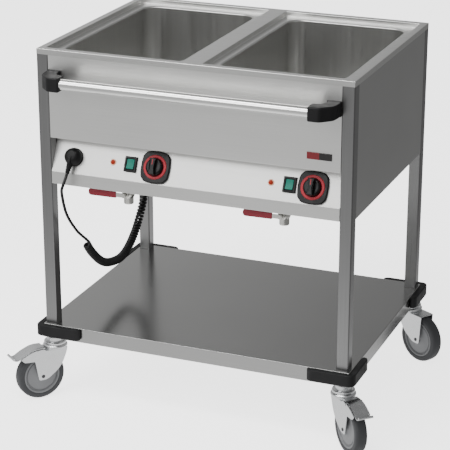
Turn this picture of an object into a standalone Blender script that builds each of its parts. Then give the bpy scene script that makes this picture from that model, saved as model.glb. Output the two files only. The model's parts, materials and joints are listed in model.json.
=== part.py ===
"""A mobile steam table: two heated wells for full-size food pans in a stainless steel trolley.

Four square legs stand on a shelf with swivel casters under its corners. The legs carry a deck with
two wells, and panels close the body round them. A sloped control panel at the front holds a
thermostat, a rocker switch and a pilot lamp for each well. Each well drains through a ball valve
under the body. The mains cord is curly and hangs from a gland in the bottom pan to its parked plug.

Metres, +Z up. The front faces -Y. The origin is on the floor, midway between the four legs.
"""

import math

import bmesh
import bpy
from mathutils import Matrix, Vector

for thing in list(bpy.data.objects):
    bpy.data.objects.remove(thing, do_unlink=True)

# ---- Driving dimensions -------------------------------------------------------------------------
WIDTH = 0.792
DEPTH = 0.592
HEIGHT = 0.900
GAP = 0.0003

LEG_SIDE = 0.030
LEG_WALL = 0.0015
PANEL_SHEET = 0.0012
PANEL_RECESS = 0.0005

DECK_SHEET = 0.0015
DECK_RECESS = 0.012
RIM_WIDTH = 0.018
DIVIDER_WIDTH = 0.047
LEDGE_WIDTH = 0.0235
WELL_DEPTH = 0.215
WELL_WALL = 0.0015
WELL_CORNER_RADIUS = 0.040
DRAIN_OFFSET_X = 0.009
DRAIN_FROM_FRONT = 0.064
HEATER_THICKNESS = 0.010

SHELF_LIP = 0.0373
SHELF_OVERHANG = 0.005
SHELF_SHEET = 0.0015
SHELF_RETURN = 0.0065

BUMPER_THICKNESS = 0.016
BUMPER_HEIGHT = 0.029
BUMPER_ARM = 0.103
BUMPER_END_BEVEL = 0.007
BUMPER_CORNER_RADIUS = 0.017

FRONT_PANEL_BOTTOM = 0.6825
CONTROL_FOLD_HEIGHT = 0.597
CONTROL_SETBACK = 0.039
BODY_BOTTOM = 0.5665
CONTROL_RETURN = 0.0155
SIDE_RETURN_LAP = 0.004
CONTROL_LINE = 0.041
KNOB_OFFSET = {"left": 0.1035, "right": 0.0957}
SWITCH_OFFSET = 0.0385
LAMP_OFFSET = -0.008

BEZEL_WIDTH = 0.074
BEZEL_HEIGHT = 0.078
BEZEL_THICKNESS = 0.007
KNOB_RADIUS = 0.0225
KNOB_HEIGHT = 0.021
SPINDLE_RADIUS = 0.003
THERMOSTAT_RADIUS = 0.019
THERMOSTAT_DEPTH = 0.026

SWITCH_WIDTH = 0.032
SWITCH_HEIGHT = 0.038
SWITCH_FLANGE = 0.0030
SWITCH_DEPTH = 0.024
ROCKER_WIDTH = 0.0192
ROCKER_HEIGHT = 0.025
ROCKER_TILT = math.radians(6)

LAMP_RADIUS = 0.006
LAMP_BODY_RADIUS = 0.0048

HANDLE_RADIUS = 0.013
HANDLE_HEIGHT = 0.834
HANDLE_STANDOFF = 0.052
BRACKET_BLOCK_WIDTH = 0.031
BRACKET_HEIGHT = 0.034
BRACKET_FOOT_WIDTH = 0.032
BRACKET_BLOCK_SPACING = 0.644

VALVE_HEIGHT = 0.546
PIPE_RADIUS = 0.01065
VALVE_BODY_RADIUS = 0.017
VALVE_BOSS_LENGTH = 0.023
OUTLET_BOTTOM = 0.518
OUTLET_DEPTH = 0.010
LEVER_LENGTH = 0.093
SLEEVE_LENGTH = 0.0733
SLEEVE_HEIGHT = 0.016
SLEEVE_THICKNESS = 0.006

PLUG_X = -0.311
PLUG_RADIUS = 0.0215
PLUG_BODY_DEPTH = 0.026
PLUG_TURN = math.radians(-8)
BOOT_REACH = 0.044
BOOT_LIFT = 0.016
SOCKET_RADIUS = 0.0225
SOCKET_FLANGE = 0.002

CORD_RADIUS = 0.0035
CURL_RADIUS = 0.0115
GLAND_X = -0.3255
GLAND_Y = 0.152
GLAND_RADIUS = 0.010
GLAND_DROP = 0.022

BADGE_WIDTH = 0.060
BADGE_HEIGHT = 0.0165
BADGE_X = 0.315
BADGE_Z = 0.717

WHEEL_RADIUS = 0.0625
WHEEL_WIDTH = 0.032
WHEEL_SIDES = 32
CASTER_OFFSET = 0.045
AXLE_RADIUS = 0.005
FORK_PLATE = 0.0025
FORK_INSIDE = 0.0193
CROWN_CLEARANCE = 0.0025
CROWN_SHEET = 0.003
RACE_RADIUS = 0.031
RACE_HEIGHT = 0.0125
CUP_RADIUS = 0.028
CUP_HEIGHT = 0.0065
COLLAR_RADIUS = 0.020
COLLAR_HEIGHT = 0.0114
STEM_RADIUS = 0.012
STEM_HEIGHT = 0.050
KINGPIN_RADIUS = 0.006
PEDAL_WIDTH = 0.037
PEDAL_PIVOT_OFFSET = 0.009
PEDAL_PIVOT_LIFT = 0.004
PEDAL_SHEET = 0.002

# ---- Places that follow from the driving dimensions ------------------------------------------------
HALF_W = WIDTH / 2
HALF_D = DEPTH / 2
DECK_BOTTOM = HEIGHT - DECK_RECESS - DECK_SHEET
LEDGE_TOP = HEIGHT - DECK_RECESS
RECESS_X = (WIDTH - 2 * RIM_WIDTH - DIVIDER_WIDTH) / 2
WELL_X = RECESS_X - 2 * LEDGE_WIDTH
WELL_Y = DEPTH - 2 * RIM_WIDTH - 2 * LEDGE_WIDTH
WELL_CENTRE = (DIVIDER_WIDTH + RECESS_X) / 2
WELL_BOTTOM = LEDGE_TOP - WELL_DEPTH
LEG_X = HALF_W - LEG_SIDE / 2
LEG_Y = HALF_D - LEG_SIDE / 2
PANEL_X = HALF_W - LEG_SIDE - GAP
PANEL_Y = HALF_D - LEG_SIDE - GAP
FRONT_Y = -HALF_D + PANEL_RECESS
SIDE_RETURN = LEG_SIDE + SIDE_RETURN_LAP
PAN_Z = BODY_BOTTOM + PANEL_SHEET + GAP
PAN_TOP = PAN_Z + PANEL_SHEET
CROWN_BOTTOM = 2 * WHEEL_RADIUS + CROWN_CLEARANCE
RACE_TOP = CROWN_BOTTOM + RACE_HEIGHT
CUP_TOP = RACE_TOP + CUP_HEIGHT
COLLAR_TOP = CUP_TOP + COLLAR_HEIGHT
PEDAL_PIVOT = (CASTER_OFFSET + PEDAL_PIVOT_OFFSET, CROWN_BOTTOM + PEDAL_PIVOT_LIFT)
SHELF_X = HALF_W + SHELF_OVERHANG
SHELF_Y = HALF_D + SHELF_OVERHANG
SHELF_BOTTOM = COLLAR_TOP + GAP
SHELF_TOP = SHELF_BOTTOM + SHELF_LIP
SLOPE_TOP = FRONT_PANEL_BOTTOM - GAP
SLOPE_ANGLE = math.atan2(CONTROL_SETBACK, SLOPE_TOP - CONTROL_FOLD_HEIGHT)
DRAIN_Y = -HALF_D + DRAIN_FROM_FRONT
HANDLE_Y = -HALF_D - HANDLE_STANDOFF
BLOCK_X = BRACKET_BLOCK_SPACING / 2
SIDES = {"left": -1, "right": 1}
CORNERS = {
    "front_left": (-1, -1),
    "front_right": (1, -1),
    "rear_left": (-1, 1),
    "rear_right": (1, 1),
}


# ---- Finishes ------------------------------------------------------------------------------------
def finish(name, colour, roughness, metallic=0.0):
    """A Principled BSDF material."""
    made = bpy.data.materials.new(name)
    made.use_nodes = True
    shader = made.node_tree.nodes["Principled BSDF"]
    shader.inputs["Base Color"].default_value = (*colour, 1.0)
    shader.inputs["Roughness"].default_value = roughness
    shader.inputs["Metallic"].default_value = metallic
    return made


STEEL = (0.56, 0.56, 0.55)
BLACK = (0.012, 0.012, 0.013)


# ---- Mesh helpers --------------------------------------------------------------------------------
def add(name, shape, material, place=None, parent=None):
    """A named object from a bmesh, faces out, with its place and its parent."""
    bmesh.ops.remove_doubles(shape, verts=shape.verts, dist=1e-6)
    bmesh.ops.recalc_face_normals(shape, faces=shape.faces)
    mesh = bpy.data.meshes.new(name)
    shape.to_mesh(mesh)
    shape.free()
    mesh.shade_smooth()
    mesh.set_sharp_from_angle(angle=math.radians(35))
    piece = bpy.data.objects.new(name, mesh)
    bpy.context.scene.collection.objects.link(piece)
    if material:
        mesh.materials.append(material)
    if place is not None:
        piece.matrix_basis = place
    piece.parent = parent
    return piece


def block(low, high):
    """A box between two corners."""
    shape = bmesh.new()
    bmesh.ops.create_cube(shape, size=1.0)
    for vert in shape.verts:
        vert.co = Vector(h if c > 0 else l for c, l, h in zip(vert.co, low, high))
    return shape


def prism(outline, low, high, axis="Z"):
    """An outline of two coordinates, extruded along an axis from low to high."""
    order = {"X": lambda a, b, c: (c, a, b), "Y": lambda a, b, c: (a, c, b), "Z": lambda a, b, c: (a, b, c)}[axis]
    shape = bmesh.new()
    face = shape.faces.new([shape.verts.new(order(a, b, low)) for a, b in outline])
    step = Vector(order(0.0, 0.0, high - low))
    top = bmesh.ops.extrude_face_region(shape, geom=[face])["geom"]
    bmesh.ops.translate(shape, verts=[v for v in top if isinstance(v, bmesh.types.BMVert)], vec=step)
    shape.faces.ensure_lookup_table()
    return shape


def turned(profile, sides=24, axis="Z", phase=0.0):
    """A closed outline of (radius, height) spun round an axis. Points on the axis close the shape."""
    turn = {"X": Matrix.Rotation(math.radians(90), 3, "Y"), "Y": Matrix.Rotation(math.radians(-90), 3, "X")}
    shape = bmesh.new()
    start = Matrix.Rotation(phase, 3, "Z")
    verts = [shape.verts.new(start @ Vector((r, 0.0, h))) for r, h in profile]
    edges = [shape.edges.new(pair) for pair in zip(verts, verts[1:])]
    if profile[0][0] > 0 or profile[-1][0] > 0:
        edges.append(shape.edges.new((verts[-1], verts[0])))
    bmesh.ops.spin(
        shape, geom=verts + edges, axis=(0, 0, 1), cent=(0, 0, 0), angle=2 * math.pi, steps=sides, use_merge=True
    )
    if axis in turn:
        bmesh.ops.transform(shape, matrix=turn[axis].to_4x4(), verts=shape.verts)
    return shape


def rod(radius, low, high, sides=24, axis="Z"):
    """A plain cylinder on an axis."""
    return turned([(0.0, low), (radius, low), (radius, high), (0.0, high)], sides, axis)


def moved(shape, x=0.0, y=0.0, z=0.0):
    bmesh.ops.translate(shape, verts=shape.verts, vec=(x, y, z))
    return shape


def rounded_rectangle(width, height, radius, steps=5):
    """The outline of a rectangle with round corners, centred on the origin."""
    outline = []
    for quarter, (sx, sy) in enumerate(((1, 1), (-1, 1), (-1, -1), (1, -1))):
        cx, cy = sx * (width / 2 - radius), sy * (height / 2 - radius)
        for step in range(steps + 1):
            angle = math.radians(90) * (quarter + step / steps)
            outline.append((cx + radius * math.cos(angle), cy + radius * math.sin(angle)))
    return outline


def shape_with(piece, other_shape, operation):
    """Cuts another shape from a piece, or joins it on. The other object is only a helper."""
    helper = add(f"{piece.name}_{operation.lower()}_{len(piece.modifiers)}", other_shape, None)
    helper.matrix_basis = piece.matrix_basis
    helper.parent = piece.parent
    helper.hide_render = True
    helper.display_type = "WIRE"
    modifier = piece.modifiers.new(operation.title(), "BOOLEAN")
    modifier.operation = operation
    modifier.object = helper


def cut(piece, *shapes):
    for shape in shapes:
        shape_with(piece, shape, "DIFFERENCE")


def join(piece, *shapes):
    for shape in shapes:
        shape_with(piece, shape, "UNION")


def folded_sheet(name, profile, low, high, axis, thickness, material):
    """Sheet metal folded along straight lines: an open profile extruded along an axis, then given
    its wall on the left of the profile's direction."""
    order = {"X": lambda a, b, c: (c, a, b), "Y": lambda a, b, c: (a, c, b)}[axis]
    shape = bmesh.new()
    rows = [[shape.verts.new(order(a, b, end)) for a, b in profile] for end in (low, high)]
    for i in range(len(profile) - 1):
        shape.faces.new((rows[0][i], rows[0][i + 1], rows[1][i + 1], rows[1][i]))
    mesh = bpy.data.meshes.new(name)
    shape.to_mesh(mesh)
    shape.free()
    mesh.materials.append(material)
    piece = bpy.data.objects.new(name, mesh)
    bpy.context.scene.collection.objects.link(piece)
    wall = piece.modifiers.new("Sheet", "SOLIDIFY")
    wall.thickness = thickness
    wall.offset = -1.0 if axis == "X" else 1.0
    wall.use_even_offset = True
    return piece


# ---- Deck and wells ------------------------------------------------------------------------------
def well_outline(clearance=0.0):
    return rounded_rectangle(WELL_X - 2 * clearance, WELL_Y - 2 * clearance, WELL_CORNER_RADIUS - clearance)


def make_deck():
    """The top: a folded rim and divider, with a sunk ledge round each well opening."""
    deck = add(
        "deck",
        block((-HALF_W, -HALF_D, DECK_BOTTOM), (HALF_W, HALF_D, HEIGHT)),
        finish("satin stainless deck", STEEL, 0.32, 1.0),
    )
    inner = RIM_WIDTH - DECK_SHEET
    above = HEIGHT + DECK_RECESS
    below = DECK_BOTTOM - DECK_RECESS
    roof = HEIGHT - DECK_SHEET
    for side in SIDES.values():
        centre = side * WELL_CENTRE
        edges = sorted((side * DIVIDER_WIDTH / 2, side * (HALF_W - RIM_WIDTH)))
        cut(
            deck,
            block((edges[0], -HALF_D + RIM_WIDTH, LEDGE_TOP), (edges[1], HALF_D - RIM_WIDTH, above)),
            moved(prism(well_outline(), below, above), x=centre),
        )
        # The rims are folded sheet, so they are hollow from below.
        ends = sorted((side * (HALF_W - DECK_SHEET), side * (HALF_W - inner)))
        depth = sorted((side * (HALF_D - DECK_SHEET), side * (HALF_D - inner)))
        cut(
            deck,
            block((ends[0], -HALF_D + DECK_SHEET, below), (ends[1], HALF_D - DECK_SHEET, roof)),
            block((-HALF_W + inner, depth[0], below), (HALF_W - inner, depth[1], roof)),
        )
    divider = DIVIDER_WIDTH / 2 - DECK_SHEET
    cut(deck, block((-divider, -HALF_D + inner, below), (divider, HALF_D - inner, roof)))


def make_wells():
    """Two deep-drawn wells, each with a drain hole at the front and a heating mat under its floor."""
    for name, side in SIDES.items():
        centre = side * WELL_CENTRE
        drain_x = centre + DRAIN_OFFSET_X
        well = add(
            f"well_{name}",
            moved(prism(well_outline(GAP), WELL_BOTTOM, LEDGE_TOP), x=centre),
            finish(f"deep-drawn stainless {name}", STEEL, 0.28, 1.0),
        )
        inside = prism(well_outline(GAP + WELL_WALL), WELL_BOTTOM + WELL_WALL, HEIGHT)
        bore = rod(PIPE_RADIUS - 0.0025, WELL_BOTTOM - WELL_WALL, WELL_BOTTOM + 2 * WELL_WALL)
        cut(well, moved(inside, x=centre), moved(bore, x=drain_x, y=DRAIN_Y))
        mat_half = WELL_X / 2 - 0.030
        mat_top = WELL_BOTTOM - GAP
        add(
            f"heater_{name}",
            block(
                (centre - mat_half, DRAIN_Y + PIPE_RADIUS + 0.015, mat_top - HEATER_THICKNESS),
                (centre + mat_half, WELL_Y / 2 - 0.030, mat_top),
            ),
            finish(f"heating mat {name}", (0.45, 0.10, 0.04), 0.6),
        )


# ---- Legs, shelf and bumpers -----------------------------------------------------------------------
def make_legs():
    """Square tubes, open at both ends, from the shelf to the deck."""
    for name, (sx, sy) in CORNERS.items():
        half = LEG_SIDE / 2
        bore = half - LEG_WALL
        leg = add(
            f"leg_{name}",
            block((-half, -half, SHELF_TOP + GAP), (half, half, DECK_BOTTOM - GAP)),
            finish(f"satin tube {name}", STEEL, 0.35, 1.0),
            Matrix.Translation((sx * LEG_X, sy * LEG_Y, 0.0)),
        )
        cut(leg, block((-bore, -bore, SHELF_BOTTOM), (bore, bore, HEIGHT)))


def make_shelf():
    """A tray turned upside down: a flat top, four lips, and a return along the foot of each lip."""
    shelf = add(
        "shelf",
        block((-SHELF_X, -SHELF_Y, SHELF_BOTTOM), (SHELF_X, SHELF_Y, SHELF_TOP)),
        finish("satin stainless shelf", STEEL, 0.33, 1.0),
    )
    in_x, in_y = SHELF_X - SHELF_SHEET, SHELF_Y - SHELF_SHEET
    mouth_x, mouth_y = SHELF_X - SHELF_RETURN, SHELF_Y - SHELF_RETURN
    below = SHELF_BOTTOM - SHELF_LIP
    cut(
        shelf,
        block((-in_x, -in_y, SHELF_BOTTOM + SHELF_SHEET), (in_x, in_y, SHELF_TOP - SHELF_SHEET)),
        block((-mouth_x, -mouth_y, below), (mouth_x, mouth_y, SHELF_BOTTOM + 2 * SHELF_SHEET)),
    )
    for sx, sy in CORNERS.values():
        hole = rod(STEM_RADIUS + 2 * GAP, SHELF_BOTTOM + 3 * SHELF_SHEET, SHELF_TOP + SHELF_SHEET)
        cut(shelf, moved(hole, x=sx * LEG_X, y=sy * LEG_Y))


def make_bumpers():
    """Moulded corner buffers round the shelf: an angle with a round corner and slanted ends."""
    for name, (sx, sy) in CORNERS.items():
        inner_x, inner_y = SHELF_X + GAP, SHELF_Y + GAP
        outer_x, outer_y = SHELF_X + BUMPER_THICKNESS, SHELF_Y + BUMPER_THICKNESS
        end_x, end_y = SHELF_X - BUMPER_ARM, SHELF_Y - BUMPER_ARM
        round_x, round_y = outer_x - BUMPER_CORNER_RADIUS, outer_y - BUMPER_CORNER_RADIUS
        outline = [(end_x, inner_y), (inner_x, inner_y), (inner_x, end_y)]
        outline += [(outer_x - BUMPER_END_BEVEL, end_y), (outer_x, end_y + BUMPER_END_BEVEL)]
        for step in range(7):
            angle = math.radians(15 * step)
            x = round_x + BUMPER_CORNER_RADIUS * math.cos(angle)
            outline.append((x, round_y + BUMPER_CORNER_RADIUS * math.sin(angle)))
        outline += [(end_x + BUMPER_END_BEVEL, outer_y), (end_x, outer_y - BUMPER_END_BEVEL)]
        add(
            f"bumper_{name}",
            prism([(sx * x, sy * y) for x, y in outline], SHELF_TOP - BUMPER_HEIGHT, SHELF_TOP),
            finish(f"black rubber {name}", BLACK, 0.6),
        )


# ---- Body panels -----------------------------------------------------------------------------------
def make_panels():
    """The sheet metal skins between the legs, the pan under the body and the control panel."""
    top = DECK_BOTTOM - GAP
    setback_y = FRONT_Y + CONTROL_SETBACK
    folded_sheet(
        "front_panel",
        [(FRONT_Y, top), (FRONT_Y, FRONT_PANEL_BOTTOM), (setback_y, FRONT_PANEL_BOTTOM)],
        -PANEL_X,
        PANEL_X,
        "X",
        PANEL_SHEET,
        finish("brushed front panel", STEEL, 0.34, 1.0),
    )
    back_y = HALF_D - PANEL_RECESS
    folded_sheet(
        "back_panel",
        [(back_y - CONTROL_RETURN, BODY_BOTTOM), (back_y, BODY_BOTTOM), (back_y, top)],
        -PANEL_X,
        PANEL_X,
        "X",
        PANEL_SHEET,
        finish("brushed back panel", STEEL, 0.34, 1.0),
    )
    side_x = HALF_W - PANEL_RECESS
    for name, side in SIDES.items():
        profile = [(side * side_x, top), (side * side_x, BODY_BOTTOM), (side * (side_x - SIDE_RETURN), BODY_BOTTOM)]
        folded_sheet(
            f"side_panel_{name}",
            profile if side < 0 else profile[::-1],
            -PANEL_Y,
            PANEL_Y,
            "Y",
            PANEL_SHEET,
            finish(f"brushed side panel {name}", STEEL, 0.34, 1.0),
        )
    pan_y = HALF_D - PANEL_RECESS - PANEL_SHEET - GAP
    pan = add(
        "bottom_pan",
        block((-PANEL_X, -pan_y, PAN_Z), (PANEL_X, pan_y, PAN_TOP)),
        finish("plain stainless pan", STEEL, 0.45, 1.0),
    )
    for side in SIDES.values():
        hole = rod(PIPE_RADIUS + 0.001, BODY_BOTTOM, PAN_TOP + PANEL_SHEET)
        cut(pan, moved(hole, x=side * WELL_CENTRE + DRAIN_OFFSET_X, y=DRAIN_Y))
    gland_hole = rod(GLAND_RADIUS + GAP, BODY_BOTTOM, PAN_TOP + PANEL_SHEET)
    cut(pan, moved(gland_hole, x=GLAND_X, y=GLAND_Y))
    control = folded_sheet(
        "control_panel",
        [
            (setback_y, SLOPE_TOP),
            (FRONT_Y, CONTROL_FOLD_HEIGHT),
            (FRONT_Y, BODY_BOTTOM),
            (FRONT_Y + CONTROL_RETURN, BODY_BOTTOM),
        ],
        -PANEL_X,
        PANEL_X,
        "X",
        PANEL_SHEET,
        finish("brushed control panel", (0.62, 0.62, 0.61), 0.34, 1.0),
    )
    for name, side in SIDES.items():
        well = side * WELL_CENTRE
        half_w, half_h = SWITCH_WIDTH / 2 - 0.003, SWITCH_HEIGHT / 2 - 0.003
        holes = [
            moved(rod(SPINDLE_RADIUS + 2 * GAP, -0.01, 0.01), x=well + KNOB_OFFSET[name]),
            moved(rod(LAMP_BODY_RADIUS + GAP, -0.01, 0.01), x=well + LAMP_OFFSET),
            moved(block((-half_w, -half_h, -0.01), (half_w, half_h, 0.01)), x=well + SWITCH_OFFSET),
        ]
        for hole in holes:
            hole.transform(on_slope(0.0))
            cut(control, hole)
    socket_hole = rod(SOCKET_RADIUS - 0.003 + GAP, -0.01, 0.01)
    socket_hole.transform(on_slope(PLUG_X))
    cut(control, socket_hole)


def on_slope(x, lift=0.0):
    """The frame of a piece on the control panel: X along the panel, Y up the slope, Z out of it."""
    middle = Vector((x, FRONT_Y, CONTROL_FOLD_HEIGHT))
    tilt = Matrix.Rotation(math.radians(90) - SLOPE_ANGLE, 4, "X")
    return Matrix.Translation(middle) @ tilt @ Matrix.Translation((0.0, CONTROL_LINE, lift))


# ---- Controls --------------------------------------------------------------------------------------
def bulged_square(width, height, bulge, steps=6):
    """A square outline whose four sides are shallow arcs, with its corners cut round."""
    outline = []
    for quarter in range(4):
        turn = math.radians(90 * quarter)
        for step in range(steps + 1):
            along = (step / steps - 0.5) * 0.86
            out = 0.5 - bulge * (2 * along) ** 2
            x = out * math.cos(turn) - along * math.sin(turn)
            y = out * math.sin(turn) + along * math.cos(turn)
            outline.append((x * width, y * height))
    return outline


def make_knob_set(name, x):
    """A thermostat behind the panel, its dial plate, and the knob with the thermostat's spindle."""
    back = -PANEL_SHEET - GAP
    reach = THERMOSTAT_DEPTH / 2
    thermostat = add(
        f"thermostat_{name}",
        rod(THERMOSTAT_RADIUS, back - THERMOSTAT_DEPTH, back),
        finish(f"zinc thermostat {name}", (0.5, 0.5, 0.48), 0.4, 1.0),
        on_slope(x),
    )
    cut(thermostat, rod(SPINDLE_RADIUS + GAP, back - reach - 0.002, 0.01))
    plate = add(
        f"dial_plate_{name}",
        prism(bulged_square(BEZEL_WIDTH, BEZEL_HEIGHT, 0.075), GAP, BEZEL_THICKNESS),
        finish(f"black dial plate {name}", BLACK, 0.35),
        on_slope(x),
    )
    cut(plate, rod(SPINDLE_RADIUS + 2 * GAP, -0.01, 0.02))
    low = BEZEL_THICKNESS + GAP
    skirt = low + 0.007
    knob = add(
        f"knob_{name}",
        turned(
            [(0.0, low), (KNOB_RADIUS, low), (KNOB_RADIUS - 0.0015, skirt), (KNOB_RADIUS - 0.004, skirt + 0.002),
             (0.0, skirt + 0.002)],
            32,
        ),
        finish(f"black knob {name}", BLACK, 0.4),
        on_slope(x),
    )
    grip = prism(rounded_rectangle(0.013, 2 * KNOB_RADIUS - 0.010, 0.006, 4), skirt, low + KNOB_HEIGHT)
    join(knob, grip, rod(SPINDLE_RADIUS, back - reach, low + 0.004, 16))


def make_switch(name, x):
    """A snap-in rocker switch: its housing through the panel, and the lit rocker that tilts in it."""
    half_w, half_h = SWITCH_WIDTH / 2, SWITCH_HEIGHT / 2
    neck = 0.0035
    housing = add(
        f"switch_housing_{name}",
        prism(rounded_rectangle(SWITCH_WIDTH, SWITCH_HEIGHT, 0.002, 2), GAP, SWITCH_FLANGE),
        finish(f"black switch {name}", BLACK, 0.35),
        on_slope(x),
    )
    join(housing, block((neck - half_w, neck - half_h, -SWITCH_DEPTH), (half_w - neck, half_h - neck, 0.001)))
    well_w, well_h, floor = ROCKER_WIDTH / 2 + 0.0005, ROCKER_HEIGHT / 2 + 0.0015, -0.0105
    cut(housing, block((-well_w, -well_h, floor), (well_w, well_h, 0.01)))
    h = ROCKER_HEIGHT / 2
    profile = [(h, 0.0045), (0.0, 0.0028), (-h, 0.0045), (-h + 0.001, -0.0040), (-0.004, -0.0068),
               (0.004, -0.0068), (h - 0.001, -0.0040)]
    add(
        f"rocker_{name}",
        prism(profile, -ROCKER_WIDTH / 2, ROCKER_WIDTH / 2, "X"),
        finish(f"green rocker {name}", (0.0, 0.32, 0.2), 0.25),
        on_slope(x, -0.001) @ Matrix.Rotation(-ROCKER_TILT, 4, "X"),
    )


def make_lamp(name, x):
    """A round pilot lamp, its lens proud of the panel and its body behind it."""
    add(
        f"pilot_lamp_{name}",
        turned(
            [(0.0, -0.018), (LAMP_BODY_RADIUS, -0.018), (LAMP_BODY_RADIUS, GAP), (LAMP_RADIUS, GAP),
             (LAMP_RADIUS, 0.0015), (0.0045, 0.0035), (0.0, 0.0042)],
            20,
        ),
        finish(f"amber lens {name}", (0.8, 0.12, 0.02), 0.25),
        on_slope(x),
    )


def make_badge():
    """A plain two-tone plate on the front panel."""
    add(
        "badge",
        block(
            (BADGE_X - BADGE_WIDTH / 2, FRONT_Y - 0.0015, BADGE_Z - BADGE_HEIGHT / 2),
            (BADGE_X + BADGE_WIDTH / 2, FRONT_Y - GAP, BADGE_Z + BADGE_HEIGHT / 2),
        ),
        finish("enamel badge", (0.25, 0.01, 0.015), 0.3),
    )


# ---- Push handle -----------------------------------------------------------------------------------
def make_handle():
    """A bar between two moulded brackets that flare out to the ends of the front panel."""
    socket_depth = BRACKET_BLOCK_WIDTH - 0.006
    bar_end = BLOCK_X - BRACKET_BLOCK_WIDTH / 2 + socket_depth - GAP
    add(
        "handle_bar",
        rod(HANDLE_RADIUS, -bar_end, bar_end, 24, "X"),
        finish("bright steel bar", (0.75, 0.75, 0.74), 0.12, 1.0),
        Matrix.Translation((0.0, HANDLE_Y, HANDLE_HEIGHT)),
    )
    half = BRACKET_BLOCK_WIDTH / 2
    block_front = HANDLE_Y - BRACKET_HEIGHT / 2
    block_back = HANDLE_Y + BRACKET_HEIGHT / 2
    foot_out = PANEL_X - GAP
    foot_in = foot_out - BRACKET_FOOT_WIDTH
    face = FRONT_Y - GAP
    outline = [
        (BLOCK_X - half, block_front),
        (BLOCK_X + half, block_front),
        (foot_out, block_back),
        (foot_out, face),
        (foot_in, face),
        (foot_in, block_back + 0.010),
        (BLOCK_X - half, block_back),
    ]
    for name, side in SIDES.items():
        bracket = add(
            f"handle_bracket_{name}",
            prism(
                [(side * x, y) for x, y in outline],
                HANDLE_HEIGHT - BRACKET_HEIGHT / 2,
                HANDLE_HEIGHT + BRACKET_HEIGHT / 2,
            ),
            finish(f"black handle bracket {name}", BLACK, 0.45),
        )
        ends = sorted((side * (BLOCK_X - half - 0.01), side * (BLOCK_X - half + socket_depth)))
        cut(bracket, moved(rod(HANDLE_RADIUS + GAP, *ends, 24, "X"), y=HANDLE_Y, z=HANDLE_HEIGHT))


# ---- Drain valves ----------------------------------------------------------------------------------
def make_valve(name, x):
    """A ball valve in a drain pipe, with a flat lever whose sleeve is dipped. Closed, it points left."""
    valve = add(
        f"drain_valve_{name}",
        rod(PIPE_RADIUS, OUTLET_BOTTOM, WELL_BOTTOM - GAP, 20),
        finish(f"nickel-plated valve {name}", (0.6, 0.6, 0.58), 0.3, 1.0),
        Matrix.Translation((x, DRAIN_Y, 0.0)),
    )
    low, high = VALVE_HEIGHT - 0.016, VALVE_HEIGHT + 0.016
    ball = turned(
        [(0.0, low), (VALVE_BODY_RADIUS - 0.004, low), (VALVE_BODY_RADIUS, low + 0.005),
         (VALVE_BODY_RADIUS, high - 0.005), (VALVE_BODY_RADIUS - 0.004, high), (0.0, high)],
        20,
    )
    boss = moved(rod(0.0085, -VALVE_BOSS_LENGTH, 0.0, 16, "Y"), z=VALVE_HEIGHT)
    join(valve, ball, boss)
    cut(valve, rod(PIPE_RADIUS - 0.0025, OUTLET_BOTTOM - 0.01, OUTLET_BOTTOM + OUTLET_DEPTH, 20))
    lever_y = -VALVE_BOSS_LENGTH - 0.006
    lever = add(
        f"valve_lever_{name}",
        prism(rounded_rectangle(LEVER_LENGTH - 0.006, 0.012, 0.0055, 4), lever_y - 0.0015, lever_y + 0.0015, "Y"),
        finish(f"red dipped lever {name}", (0.35, 0.01, 0.02), 0.4),
        Matrix.Translation((x, DRAIN_Y, VALVE_HEIGHT)),
    )
    lever.data.transform(Matrix.Translation((0.006 - LEVER_LENGTH / 2, 0.0, 0.0)))
    sleeve = prism(
        rounded_rectangle(SLEEVE_LENGTH, SLEEVE_HEIGHT, SLEEVE_HEIGHT / 2 - 0.001, 4),
        lever_y - SLEEVE_THICKNESS / 2,
        lever_y + SLEEVE_THICKNESS / 2,
        "Y",
    )
    stem = rod(0.004, -VALVE_BOSS_LENGTH - 0.010, -VALVE_BOSS_LENGTH - GAP, 16, "Y")
    join(lever, moved(sleeve, x=-LEVER_LENGTH + SLEEVE_LENGTH / 2), stem)


# ---- Mains lead ------------------------------------------------------------------------------------
TAIL_ROUTE = [
    (-0.3195, -0.3260, 0.5800),
    (-0.3240, -0.3280, 0.5650),
    (-0.3290, -0.3180, 0.5520),
    (-0.3350, -0.3040, 0.5360),
    (-0.3410, -0.2850, 0.5080),
    (-0.3445, -0.2680, 0.4830),
    (-0.3455, -0.2500, 0.4592),
    (-0.3440, -0.2310, 0.4360),
    (-0.3415, -0.2120, 0.4144),
    (-0.3400, -0.1940, 0.3970),
]
CURL_ROUTE = [
    (-0.3255, 0.1520, 0.4900),
    (-0.3258, 0.1515, 0.4400),
    (-0.3275, 0.1490, 0.3950),
    (-0.3300, 0.1400, 0.3640),
    (-0.3310, 0.1230, 0.3385),
    (-0.3300, 0.0920, 0.3100),
    (-0.3280, 0.0450, 0.2850),
    (-0.3275, -0.0030, 0.2745),
    (-0.3290, -0.0630, 0.2830),
    (-0.3330, -0.1050, 0.3010),
    (-0.3390, -0.1450, 0.3380),
]
CURL_END = (-0.3405, -0.1760, 0.3760)


def smooth_route(points, spacing):
    """Points read every spacing or so from a Catmull-Rom curve through the route."""
    points = [Vector(p) for p in points]
    padded = [2 * points[0] - points[1], *points, 2 * points[-1] - points[-2]]
    route = [points[0]]
    for a, b, c, d in zip(padded, padded[1:], padded[2:], padded[3:]):
        steps = max(1, round((c - b).length / spacing))
        for step in range(1, steps + 1):
            t = step / steps
            route.append(
                0.5 * (2 * b + (c - a) * t + (2 * a - 5 * b + 4 * c - d) * t**2 + (3 * b - a - 3 * c + d) * t**3)
            )
    return route


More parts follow.
